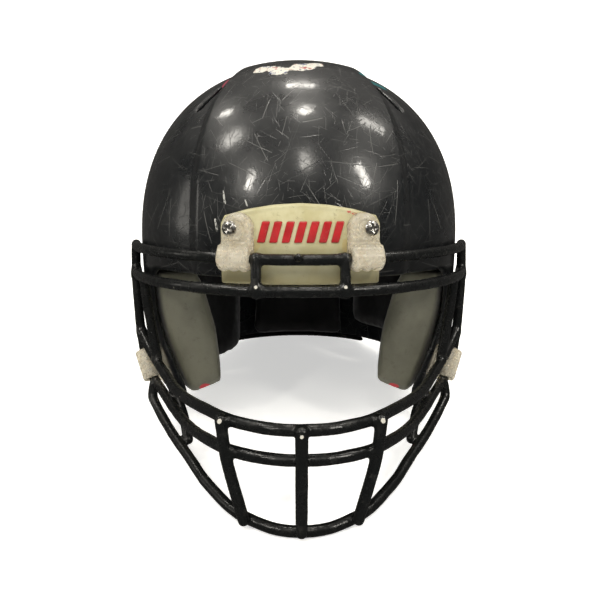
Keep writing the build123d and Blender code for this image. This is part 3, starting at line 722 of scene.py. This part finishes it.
def puff(piece):
    """Blows a closed mesh up like a stuffed cover, no point further than PUFF_CAP."""
    start = np.array([v.co for v in piece.data.vertices])
    cloth = piece.modifiers.new("puff", "CLOTH")
    cloth.settings.use_pressure = True
    cloth.settings.uniform_pressure_force = PUFF_PRESSURE
    cloth.settings.quality = 6
    cloth.settings.mass = 0.3
    cloth.settings.tension_stiffness = 15
    cloth.settings.compression_stiffness = 15
    cloth.settings.bending_stiffness = 0.6
    cloth.settings.effector_weights.gravity = 0
    cloth.collision_settings.use_collision = False
    scene = bpy.context.scene
    for number in range(PUFF_FRAMES):
        scene.frame_set(number + 1)
    shaped = piece.evaluated_get(bpy.context.evaluated_depsgraph_get())
    moved = np.array([v.co for v in shaped.data.vertices]) - start
    length = norm(moved, axis=1, keepdims=True)
    moved *= np.minimum(1, PUFF_CAP / 1000 / np.maximum(length, 1e-9))
    piece.modifiers.remove(cloth)
    scene.frame_set(1)
    piece.data.vertices.foreach_set("co", (start + moved).astype(np.float32).ravel())
    piece.data.update()


def pad(name, field, low, high, step, material, slot, body):
    """Stuffed piece that stands for the CAD pad of the same name."""
    points, quads = quads_of(field, low, high, step)
    piece = mesh_object(name, points, outwards(points, quads))
    puff(piece)
    smooth = piece.modifiers.new("smooth", "SUBSURF")
    smooth.levels = smooth.render_levels = 1
    dress(piece, material, [name.replace("_cushion", "")], body)
    return piece


# ---- materials
class Paint:
    """A node material, built by short calls that return sockets. Lengths in it are millimetres."""

    def __init__(self, name, **uniform):
        self.material = bpy.data.materials.new(name)
        self.material.use_nodes = True
        self.tree = self.material.node_tree
        self.tree.nodes.clear()
        self.shader = self.add("BsdfPrincipled", **uniform)
        self.add("OutputMaterial", Surface=self.shader.outputs[0])
        place = self.add("TexCoord").outputs["Object"]
        self.place = self.vector("SCALE", i0=place, Scale=1000.0)
        self.normal = self.add("NewGeometry").outputs["Normal"]

    def add(self, kind, settings=None, **inputs):
        """New node. Inputs are values or sockets, by name, or by number as i0, i1 and so on."""
        node = self.tree.nodes.new("ShaderNode" + kind)
        for key, value in (settings or {}).items():
            setattr(node, key, value)
        for key, value in inputs.items():
            numbered = key[0] == "i" and key[1:].isdigit()
            socket = node.inputs[int(key[1:]) if numbered else key.replace("_", " ")]
            if isinstance(value, bpy.types.NodeSocket):
                self.tree.links.new(value, socket)
            else:
                socket.default_value = value
        return node

    def maths(self, operation, *values):
        inputs = {f"i{i}": value for i, value in enumerate(values)}
        return self.add("Math", {"operation": operation}, **inputs).outputs[0]

    def times(self, a, b):
        return self.maths("MULTIPLY", a, b)

    def plus(self, a, b):
        return self.maths("ADD", a, b)

    def vector(self, operation, out=0, **inputs):
        return self.add("VectorMath", {"operation": operation}, **inputs).outputs[out]

    def ramp(self, value, low, high, to_low=0.0, to_high=1.0):
        """Smooth step of value from low to high."""
        names = {"From_Min": low, "From_Max": high, "To_Min": to_low, "To_Max": to_high}
        node = self.add("MapRange", {"interpolation_type": "SMOOTHSTEP"}, Value=value, **names)
        return node.outputs[0]

    def mix(self, share, first, second):
        first, second = ((*c, 1.0) if isinstance(c, tuple) else c for c in (first, second))
        return self.add("Mix", {"data_type": "RGBA"}, i0=share, i6=first, i7=second).outputs[2]

    def noise(self, size, detail, rough=0.55):
        inputs = {"Vector": self.place, "Scale": 1 / size, "Detail": detail, "Roughness": rough}
        return self.add("TexNoise", **inputs).outputs[0]

    def clouds(self, noise, low, high, to_low=0.0, to_high=1.0):
        """Ramp of a noise of the given size, detail and roughness."""
        return self.ramp(self.noise(*noise), low, high, to_low, to_high)

    def apart(self, vector):
        return self.add("SeparateXYZ", Vector=vector).outputs

    def flat_place(self):
        """Millimetres across the surface, seen along the axis that it faces most squarely."""
        x, y, z = self.apart(self.place)
        nx, ny, nz = (self.maths("ABSOLUTE", part) for part in self.apart(self.normal))
        sideways = self.maths("GREATER_THAN", nx, self.maths("MAXIMUM", ny, nz))
        upwards = self.maths("GREATER_THAN", nz, self.maths("MAXIMUM", nx, ny))
        u = self.add("Mix", i0=sideways, i2=x, i3=y).outputs[0]
        v = self.add("Mix", i0=upwards, i2=z, i3=y).outputs[0]
        return self.add("CombineXYZ", X=u, Y=v).outputs[0]

    def scratches(self, flat, spacing, length, width, share, seed):
        """One straight or slightly bent scratch in each chosen cell, at a random turn."""
        moved = self.vector("ADD", i0=flat, i1=(seed * 37.0, seed * 91.0, 0))
        flat_cells = {"voronoi_dimensions": "2D"}
        cells = self.add("TexVoronoi", flat_cells, Vector=moved, Scale=1 / spacing)
        local = self.vector("SUBTRACT", i0=moved, i1=cells.outputs["Position"])
        chance = self.apart(cells.outputs["Color"])
        turn = self.times(chance[0], math.tau)
        turned = self.add("VectorRotate", {"rotation_type": "Z_AXIS"}, Vector=local, Angle=turn)
        u, v, _ = self.apart(turned.outputs[0])
        bend = self.times(self.times(v, v), 0.08 / length)
        off = self.maths("ABSOLUTE", self.plus(u, bend))
        line = self.ramp(off, width, width * 0.25)
        ends = self.ramp(self.maths("ABSOLUTE", v), length / 2, length / 4)
        chosen = self.ramp(chance[1], 1 - share, 1.05 - share)
        depth = self.ramp(chance[2], 0.0, 1.0, 0.25, 1.0)
        return self.times(self.times(line, ends), self.times(chosen, depth))

    def strip(self, start, end, radius):
        """Straight band between two points given in upright millimetres."""
        start, end = Vector(stand(start) * 1000), Vector(stand(end) * 1000)
        run = end - start
        offset = self.vector("SUBTRACT", i0=self.place, i1=tuple(start))
        along = self.vector("DOT_PRODUCT", "Value", i0=offset, i1=tuple(run / run.length_squared))
        along = self.add("Clamp", Value=along).outputs[0]
        nearest = self.vector("SCALE", i0=tuple(run), Scale=along)
        away = self.vector("DISTANCE", "Value", i0=offset, i1=nearest)
        return self.ramp(away, radius, radius * 0.8)

    def blot(self, centre, radius, ragged, size):
        """Ragged round patch about a point given in upright millimetres."""
        middle = tuple(stand(centre) * 1000)
        away = self.vector("DISTANCE", "Value", i0=self.place, i1=middle)
        edge = self.plus(away, self.times(self.noise(size, 5, 0.65), ragged * radius * 2))
        return self.ramp(edge, radius * (1 + ragged), radius * (0.9 + ragged))

    def most(self, *values):
        result = values[0]
        for value in values[1:]:
            result = self.maths("MAXIMUM", result, value)
        return result

    def bump(self, height, strength, distance):
        inputs = {"Height": height, "Strength": strength, "Distance": distance / 1000}
        return self.add("Bump", **inputs).outputs[0]

    def done(self, colour, rough, normal, **more):
        """The material, with sockets linked to its shader's inputs."""
        for name, socket in {"Base_Color": colour, "Roughness": rough, "Normal": normal, **more}.items():
            self.tree.links.new(socket, self.shader.inputs[name.replace("_", " ")])
        return self.material


CROWN_PATCHES = [
    (-13, -79, 110, 8), (2, -74, 113.5, 9), (-23, -72, 112, 6.5), (11, -67, 116, 5),
]  # centre and radius of worn white paint
RUBBED_LINES = [
    ((-45.0, -128.0, 34.5), (-43.6, -129.3, 27.0), 0.7), ((-49.6, -127.6, 17.5), (-48.6, -129.0, 11.5), 0.8),
    ((-31.6, -133.9, 29.0), (-30.4, -134.6, 25.5), 0.5), ((-63, -117, 12), (-60, -118, 22), 0.5),
    ((46, -122, 36), (49, -121, 30), 0.5), ((66, -101, 47), (70, -100, 40), 0.6),
]  # ends and half width of marks rubbed down to pale plastic


def shell_material():
    """Gloss black plastic, rubbed and scratched, with worn paint at the crown."""
    m = Paint("shell_gloss_black", IOR=1.5, Coat_Weight=0.6, Coat_Roughness=0.07)
    flat = m.flat_place()
    fine = [m.scratches(flat, 6, 9, 0.16, 0.8, 1), m.scratches(flat, 11, 18, 0.18, 0.9, 2)]
    fine += [m.scratches(flat, 9, 16, 0.18, 0.9, 3), m.scratches(flat, 4, 5, 0.18, 0.4, 4)]
    bold = [m.scratches(flat, 22, 36, 0.28, 0.8, 5), m.scratches(flat, 16, 24, 0.34, 0.5, 6)]
    crowd = m.clouds((42, 3, 0.6), 0.38, 0.62, 0.35, 1.0)
    fine, bold = m.times(m.most(*fine), crowd), m.most(*bold)
    haze = m.clouds((30, 5, 0.6), 0.40, 0.70)
    speckle = m.clouds((1.3, 3, 0.7), 0.67, 0.76)
    scuffs = m.times(speckle, m.clouds((16, 4, 0.6), 0.54, 0.66))
    broken = m.clouds((1.6, 3, 0.7), 0.40, 0.50)
    spots = m.times(m.most(*[m.strip(*line) for line in RUBBED_LINES]), broken)
    shares = {fine: 0.11, bold: 0.15, scuffs: 0.25, haze: 0.010, spots: 0.9}
    marks = m.most(*[m.times(mark, share) for mark, share in shares.items()])
    colour = m.mix(marks, (0.0040, 0.0050, 0.0060), (0.42, 0.42, 0.39))
    patch = m.most(*[m.blot((x, y, z), r, 0.9, 9) for x, y, z, r in CROWN_PATCHES])
    fleck = m.noise(4, 2)
    tint = m.mix(m.ramp(fleck, 0.60, 0.62), (0.66, 0.64, 0.56), (0.03, 0.05, 0.16))
    tint = m.mix(m.ramp(fleck, 0.37, 0.36), tint, (0.35, 0.05, 0.05))
    colour = m.mix(patch, colour, tint)
    colour = m.mix(m.strip((43, -62, 110.5), (56, -54, 105), 4.5), colour, (0.01, 0.16, 0.17))
    colour = m.mix(m.strip((-50.4, -70.7, 100.0), (-47.4, -53.2, 109), 2.2), colour, (0.42, 0.05, 0.09))
    worn = m.most(fine, bold, scuffs, patch)
    rough = m.plus(m.clouds((22, 5, 0.65), 0.35, 0.7, 0.26, 0.44), m.times(worn, 0.25))
    coat_rough = m.plus(m.clouds((12, 5, 0.7), 0.35, 0.75, 0.06, 0.22), m.times(worn, 0.3))
    dents = m.plus(m.times(m.most(fine, bold), -0.7), m.times(m.noise(2.2, 4, 0.65), 0.30))
    bump = m.bump(dents, 0.42, 0.2)
    return m.done(colour, rough, bump, Coat_Roughness=coat_rough, Coat_Normal=bump)


BARE_SPOTS = [
    ((24.9, -154.8, -18.6), 1.1), ((-24.9, -154.8, -18.6), 1.1), ((43.5, -179.0, -87.0), 1.4),
    ((-43.5, -179.0, -87.0), 1.4), ((0.0, -200.5, -88.0), 1.2), ((-108, -60, -84), 1.3),
    ((-6, -196.5, -105.5), 1.3), ((-117, -46, -30), 1.2), ((117, -46, -27), 1.5), ((1.5, -196, -128), 1.4),
]  # places where the coating has worn through, and their radius


def mask_material():
    """Black vinyl coating over wire, scuffed, bare metal showing at a few worn tips."""
    m = Paint("mask_black_coating", IOR=1.5)
    rub = m.clouds((7, 5, 0.7), 0.55, 0.75)
    grain = m.noise(1.2, 3, 0.6)
    chips = m.clouds((3.2, 4, 0.7), 0.70, 0.74)
    colour = m.mix(m.times(rub, 0.35), (0.0045, 0.005, 0.005), (0.05, 0.048, 0.042))
    colour = m.mix(m.times(chips, 0.5), colour, (0.28, 0.26, 0.22))
    tips = m.most(*[m.blot(place, radius, 0.6, 1.6) for place, radius in BARE_SPOTS])
    colour = m.mix(tips, colour, (0.50, 0.48, 0.42))
    rough = m.clouds((9, 4, 0.6), 0.35, 0.7, 0.16, 0.36)
    height = m.plus(m.noise(3.0, 4, 0.6), m.times(grain, 0.3))
    return m.done(colour, rough, m.bump(height, 0.45, 0.4))


def bumper_material():
    """Yellowed cream vinyl with dirt, black scuffs, and darker and browner towards its foot."""
    m = Paint("bumper_cream_vinyl", IOR=1.48, Subsurface_Weight=0.12, Subsurface_Radius=(0.004, 0.003, 0.002))
    cloud = m.clouds((14, 4, 0.6), 0.35, 0.7)
    colour = m.mix(cloud, (0.50, 0.47, 0.29), (0.41, 0.37, 0.20))
    dirt = m.times(m.clouds((3.0, 6, 0.75), 0.56, 0.68), m.clouds((18, 2), 0.45, 0.6))
    # colour turns darker and browner towards the foot, by height alone
    fade_top_z, fade_foot_z = (float(stand((0, -140, z))[2] * 1000) for z in (-4, -18))
    low = m.ramp(m.apart(m.place)[2], fade_top_z, fade_foot_z)
    colour = m.mix(m.times(low, 0.65), colour, (0.17, 0.145, 0.07))
    colour = m.mix(m.times(dirt, 0.5), colour, (0.13, 0.10, 0.06))
    specks = m.times(m.clouds((1.1, 3, 0.6), 0.70, 0.76), m.clouds((11, 2), 0.5, 0.6))
    patchy = m.clouds((1.2, 3, 0.7), 0.42, 0.52)
    lines = [((3, -144, 24.4), (9, -144, 24.0), 0.55), ((-13.5, -143, 23.6), (-12, -144, 20.5), 0.5)]
    scuff = m.times(m.most(*[m.strip(*line) for line in lines]), patchy)
    colour = m.mix(m.most(scuff, specks), colour, (0.05, 0.045, 0.04))
    red = m.times(m.strip((27, -140, 22.5), (33, -138.5, 20.5), 0.9), patchy)
    colour = m.mix(red, colour, (0.45, 0.05, 0.05))
    beside = m.most(m.blot((-28, -141, 3), 5, 0.5, 4), m.blot((28, -141, 3), 5, 0.5, 4))
    colour = m.mix(m.times(beside, 0.5), colour, (0.46, 0.34, 0.12))
    rough = m.clouds((6, 4, 0.6), 0.3, 0.7, 0.3, 0.5)
    height = m.plus(m.noise(1.4, 4, 0.6), m.times(m.noise(9, 3), 0.8))
    return m.done(colour, rough, m.bump(height, 0.18, 0.2))


def emblem_material():
    """Red paint on the raised bars, worn to pink in places."""
    m = Paint("emblem_red", IOR=1.5, Coat_Weight=0.2)
    worn = m.clouds((1.5, 5, 0.7), 0.62, 0.72)
    colour = m.mix(m.clouds((6, 3), 0.3, 0.7), (0.40, 0.010, 0.013), (0.30, 0.008, 0.010))
    colour = m.mix(m.times(worn, 0.35), colour, (0.72, 0.45, 0.40))
    rough = m.clouds((4, 3), 0.3, 0.7, 0.28, 0.45)
    return m.done(colour, rough, m.bump(m.noise(1.0, 3), 0.1, 0.1))


def clip_material():
    """Clear plastic gone milky yellow, rubbed and scratched."""
    m = Paint("clip_clear_plastic", IOR=1.42, Transmission_Weight=0.6)
    cloud = m.clouds((5, 5, 0.65), 0.35, 0.7)
    colour = m.mix(cloud, (0.80, 0.75, 0.62), (0.68, 0.60, 0.45))
    grime = m.clouds((6, 5, 0.7), 0.56, 0.75)
    colour = m.mix(m.times(grime, 0.25), colour, (0.50, 0.42, 0.28))
    flat = m.flat_place()
    lines = m.most(m.scratches(flat, 2.5, 4, 0.07, 0.9, 7), m.scratches(flat, 4, 5, 0.09, 0.8, 8))
    rough = m.plus(m.clouds((3, 4), 0.3, 0.7, 0.20, 0.38), m.times(lines, 0.15))
    height = m.plus(m.noise(5, 2), m.times(lines, -0.1))
    return m.done(colour, rough, m.bump(height, 0.12, 0.25))


def metal_material(name, sizes, clean, dull, low_rough, high_rough):
    """Bare metal with tarnish. sizes are the grain of its tarnish, its gloss and its dents."""
    m = Paint(name, Metallic=1.0)
    tarnish_size, gloss_size, dent_size = sizes
    colour = m.mix(m.clouds((tarnish_size, 5, 0.7), 0.45, 0.7), clean, dull)
    rough = m.clouds((gloss_size, 4), 0.3, 0.7, low_rough, high_rough)
    return m.done(colour, rough, m.bump(m.noise(dent_size, 4), 0.2, 0.1))


def steel_material():
    return metal_material(
        "fastener_worn_steel", (2.4, 1.3, 0.7), (0.62, 0.61, 0.58), (0.25, 0.22, 0.18), 0.18, 0.42
    )


def brass_material():
    return metal_material(
        "snap_worn_brass", (3, 1.5, 0.8), (0.72, 0.55, 0.27), (0.30, 0.20, 0.09), 0.22, 0.45
    )


def vinyl_material(name, light, dark, marked=False):
    """Soft vinyl cover over foam: fine leather grain, dirt in patches."""
    m = Paint(name, IOR=1.45, Sheen_Weight=0.15, Sheen_Roughness=0.4)
    cloud = m.clouds((26, 5, 0.6), 0.35, 0.7)
    colour = m.mix(cloud, light, dark)
    dirt = m.times(m.clouds((5, 5, 0.7), 0.55, 0.7), 0.3)
    colour = m.mix(dirt, colour, tuple(c * 0.35 for c in dark))
    if marked:
        spots = m.most(*[m.blot((s * 66.5, -63.5, -103.0), 4.4, 0.25, 2.5) for s in (1, -1)])
        colour = m.mix(spots, colour, (0.45, 0.02, 0.03))
    grain = m.add("TexVoronoi", Vector=m.place, Scale=1 / 1.1).outputs["Distance"]
    rough = m.clouds((8, 4), 0.3, 0.7, 0.42, 0.62)
    height = m.plus(m.times(grain, 0.5), m.noise(7, 3))
    return m.done(colour, rough, m.bump(height, 0.22, 0.2))


def rubber_material(name, colour):
    """Dusty matt rubber or vinyl."""
    m = Paint(name, IOR=1.5)
    dusty = m.clouds((6, 5, 0.7), 0.5, 0.75)
    shade = m.mix(m.times(dusty, 0.4), colour, (0.12, 0.115, 0.10))
    rough = m.clouds((4, 4), 0.3, 0.7, 0.45, 0.7)
    return m.done(shade, rough, m.bump(m.noise(1.2, 4), 0.25, 0.2))


# ---- build
def build_shell():
    shell = solid("helmet_shell", shell_field, (-124, -146, -116), (124, 156, 133), 1.5)
    dress(shell, shell_material(), ["shell"])


def build_mask():
    mask = solid("face_mask", mask_field, (-127, -205, -158), (127, -24, 6), 1.0)
    dress(mask, mask_material(), [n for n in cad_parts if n.startswith("mask_")])


def build_trim():
    bumper = solid("brow_bumper", front_bumper_field, (-50, -150, -22), (50, -100, 30), 0.9)
    dress(bumper, bumper_material(), ["front_bumper"])
    bars = solid("bumper_bars", emblem_field, (-28, -151, 2), (28, -138, 20), 0.45)
    dress(bars, emblem_material(), ["bumper_emblem"])
    nape_trim = solid("nape_trim", rear_bumper_field, (-66, 84, -107), (66, 156, -74), 1.0)
    dress(nape_trim, rubber_material("trim_black_vinyl", (0.02, 0.02, 0.021)), ["rear_bumper"])


def build_clips():
    clear, centre = clip_material(), top_clip_axes()[0]
    for name, sign in SIDES.items():
        low, high = centre - [13, 12, 10], centre + [13, 13, 31]
        clip = solid(f"{name}_brow_clip", top_clip_field, low, high, 0.6, sign < 0)
        dress(clip, clear, [f"{name}_top_clip"])
        strap = solid(f"{name}_jaw_clip", side_clip_field, (88, -66, -110), (122, -8, -66), 0.7, sign < 0)
        dress(strap, clear, [f"{name}_side_clip"])


def build_screws(steel):
    over, strap = BUMPER_T + 2 * CLIP_T + 0.1, 2 * CLIP_T
    top = skin_axes((SCREW_X, skin_y(SCREW_X, SCREW_Z, BAND_RISE), SCREW_Z))
    side = skin_axes((skin_x(*SIDE_SCREW, 0), *SIDE_SCREW))
    rear = skin_axes((REAR_SCREW[0], skin_y(*REAR_SCREW, BAND_RISE, False), REAR_SCREW[1]))
    for name, axes, seat, turns, length, node in (
        ("brow_clip_screws", top, over, (0.2, 1.0), over + 9, "top_clip_screws"),
        ("jaw_clip_screws", side, strap + 0.4, (0.5, 0.1), strap + 6, "side_clip_screws"),
        ("nape_trim_screws", rear, TRIM_T + 0.1, (0.7, 0.3), TRIM_T + 10, "rear_bumper_screws"),
    ):
        screw_group(name, axes, seat, turns, length, [node], steel)


def build_pads():
    black = vinyl_material("liner_black_vinyl", (0.007, 0.007, 0.0075), (0.004, 0.004, 0.004))
    for name, (place, thick) in PADS.items():
        pad(f"{name}_cushion", pad_field(place, thick), *PAD_BOX, 4.5, black, "liner_vinyl", "helmet")
    olive = vinyl_material("jaw_pad_olive_vinyl", (0.14, 0.137, 0.100), (0.105, 0.103, 0.075), True)
    (inner, front, bottom), (outer, back, top) = JAW_BOX
    boxes = {"left": JAW_BOX, "right": ((-outer, front, bottom), (-inner, back, top))}
    fields = {"left": jaw_pad_field, "right": lambda p: jaw_pad_field(p * [-1, 1, 1])}
    for name, box in boxes.items():
        body = f"{name}_jaw_pad_body"
        pad(f"{name}_jaw_pad_cushion", fields[name], *box, 2.2, olive, "jaw_pad_vinyl", body)


def finish_cad_nodes(steel):
    """Materials of the CAD nodes that stay, by a part of their names."""
    rubber = rubber_material("valve_rubber", (0.02, 0.02, 0.02))
    finishes = {"tee_nuts": steel, "chin_strap_studs": steel, "jaw_s": brass_material(), "valve": rubber}
    for node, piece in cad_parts.items():
        for part, material in finishes.items():
            if part in node:
                finish_node(piece, material)


# ---- studio
CAMERA = (-4.0, -510.0, 27.8)  # upright millimetres
CAMERA_PITCH, CAMERA_YAW = math.radians(8.58), math.radians(0.57)
LENS, SENSOR = 39, 36
LAMP_AWAY = 1.7  # metres from the dome
GLINTS = [
    (0.1, 98.2, 0.34, 0.16, 3.0),
    (2.9, 81.2, 0.20, 0.20, 5.0),
    (2.6, 51.4, 0.18, 0.34, 3.2),
    (-40.1, 65.0, 0.26, 0.34, 4.2),
    (-28.8, 40.2, 0.11, 0.34, 6.5),
    (36.2, 43.2, 0.15, 0.42, 8.5),
    (43.0, 73.3, 0.18, 0.44, 3.6),
    (-44.7, 81.0, 0.14, 0.20, 2.0),
    (-70.0, 25.0, 0.50, 0.60, 1.5),
]  # x and z on the dome where a lamp is mirrored, its width and height in metres, and its power


def make_camera():
    c, s = math.cos(CAMERA_PITCH), math.sin(CAMERA_PITCH)
    forward = lean((math.sin(CAMERA_YAW) * c, math.cos(CAMERA_YAW) * c, -s))
    right = lean((math.cos(CAMERA_YAW), -math.sin(CAMERA_YAW), 0))
    up = np.cross(right, forward)
    camera = scene_object("camera", bpy.data.cameras.new("camera"))
    camera.data.sensor_width = SENSOR
    camera.data.lens = LENS
    axes = Matrix([right, up, -forward]).transposed()
    camera.matrix_world = Matrix.Translation(Vector(stand(CAMERA))) @ axes.to_4x4()
    bpy.context.scene.camera = camera


def area_lamp(name, place, target, width, height, power, colour, mirrored_too=True):
    lamp = bpy.data.lights.new(name, "AREA")
    lamp.shape = "RECTANGLE"
    lamp.size, lamp.size_y = width, height
    lamp.energy = power
    lamp.color = colour
    holder = scene_object(name, lamp)
    holder.visible_glossy = mirrored_too
    holder.location = place
    holder.rotation_euler = (Vector(target) - Vector(place)).to_track_quat("-Z", "Y").to_euler()


def make_lamps():
    """Ceiling lamps, each where the dome mirrors it to the camera, and soft light from all round."""
    eye = stand(CAMERA)
    for i, (x, z, width, height, power) in enumerate(GLINTS):
        point = (x, skin_y(x, z, BAND_RISE), z)
        here, normal = stand(point), lean(skin_normal(point))
        view = unit(here - eye)
        bounce = view - 2 * (view @ normal) * normal
        place = here + bounce * LAMP_AWAY
        area_lamp(f"ceiling_lamp_{i}", place, here, width, height, power, (1.0, 0.96, 0.88))
    area_lamp("key_softbox", (-0.3, -1.7, 2.4), (0, -0.05, 0.1), 1.6, 1.0, 30, (1.0, 0.98, 0.94), False)
    area_lamp("low_softbox", (0.2, -2.2, 0.35), (0, -0.05, 0.1), 1.6, 0.4, 6, (1, 1, 1), False)


def backdrop_material():
    m = Paint("pale_backdrop", Roughness=0.9, Base_Color=(0.9, 0.9, 0.89, 1), Emission_Strength=0.55)
    m.shader.inputs["Emission Color"].default_value = (1, 1, 0.99, 1)
    m.tree.links.new(m.bump(m.noise(40, 2), 0.02, 0.2), m.shader.inputs["Normal"])
    return m.material


def make_backdrop():
    """Pale floor that curves up into a backdrop, in metres."""
    radius, depth, width, height, front = 0.6, 1.6, 4.0, 3.0, -3.0
    turns = np.linspace(0, math.pi / 2, 17)
    curve = [(depth - radius + radius * math.sin(t), radius - radius * math.cos(t)) for t in turns]
    profile = [(front, 0.0), *curve, (depth, height)]
    points = [(x, y, z - 0.0002) for y, z in profile for x in (-width, width)]
    faces = [(2 * i, 2 * i + 1, 2 * i + 3, 2 * i + 2) for i in range(len(profile) - 1)]
    mesh = bpy.data.meshes.new("backdrop")
    mesh.from_pydata(points, [], faces)
    mesh.polygons.foreach_set("use_smooth", np.ones(len(faces), bool))
    mesh.materials.append(backdrop_material())
    sweep = scene_object("backdrop", mesh)
    sweep.visible_glossy = False  # keeps the gloss black dark at its rim


def make_world():
    """Light from all round, stronger from above, seen by the camera as plain white."""
    world = bpy.data.worlds.new("studio")
    bpy.context.scene.world = world
    world.use_nodes = True
    nodes, links = world.node_tree.nodes, world.node_tree.links
    background, seen = nodes["Background"], nodes.new("ShaderNodeBackground")
    background.inputs["Color"].default_value = (1.0, 0.95, 0.88, 1)
    seen.inputs["Color"].default_value = (0.97, 0.97, 0.965, 1)
    height, glow = nodes.new("ShaderNodeSeparateXYZ"), nodes.new("ShaderNodeMapRange")
    for name, value in {"From Min": 0.35, "From Max": 1.0, "To Min": 0.07, "To Max": 0.50}.items():
        glow.inputs[name].default_value = value
    share = nodes.new("ShaderNodeMixShader")
    joints = [
        (nodes.new("ShaderNodeTexCoord").outputs["Generated"], height.inputs[0]),
        (height.outputs["Z"], glow.inputs["Value"]),
        (glow.outputs[0], background.inputs["Strength"]),
        (nodes.new("ShaderNodeLightPath").outputs["Is Camera Ray"], share.inputs[0]),
        (background.outputs[0], share.inputs[1]),
        (seen.outputs[0], share.inputs[2]),
        (share.outputs[0], nodes["World Output"].inputs["Surface"]),
    ]
    for output, socket in joints:
        links.new(output, socket)
    bpy.context.scene.view_settings.view_transform = "Standard"


make_camera()
build_shell()
build_mask()
build_trim()
build_clips()
worn_steel = steel_material()
build_screws(worn_steel)
build_pads()
finish_cad_nodes(worn_steel)
make_backdrop()
make_world()
make_lamps()
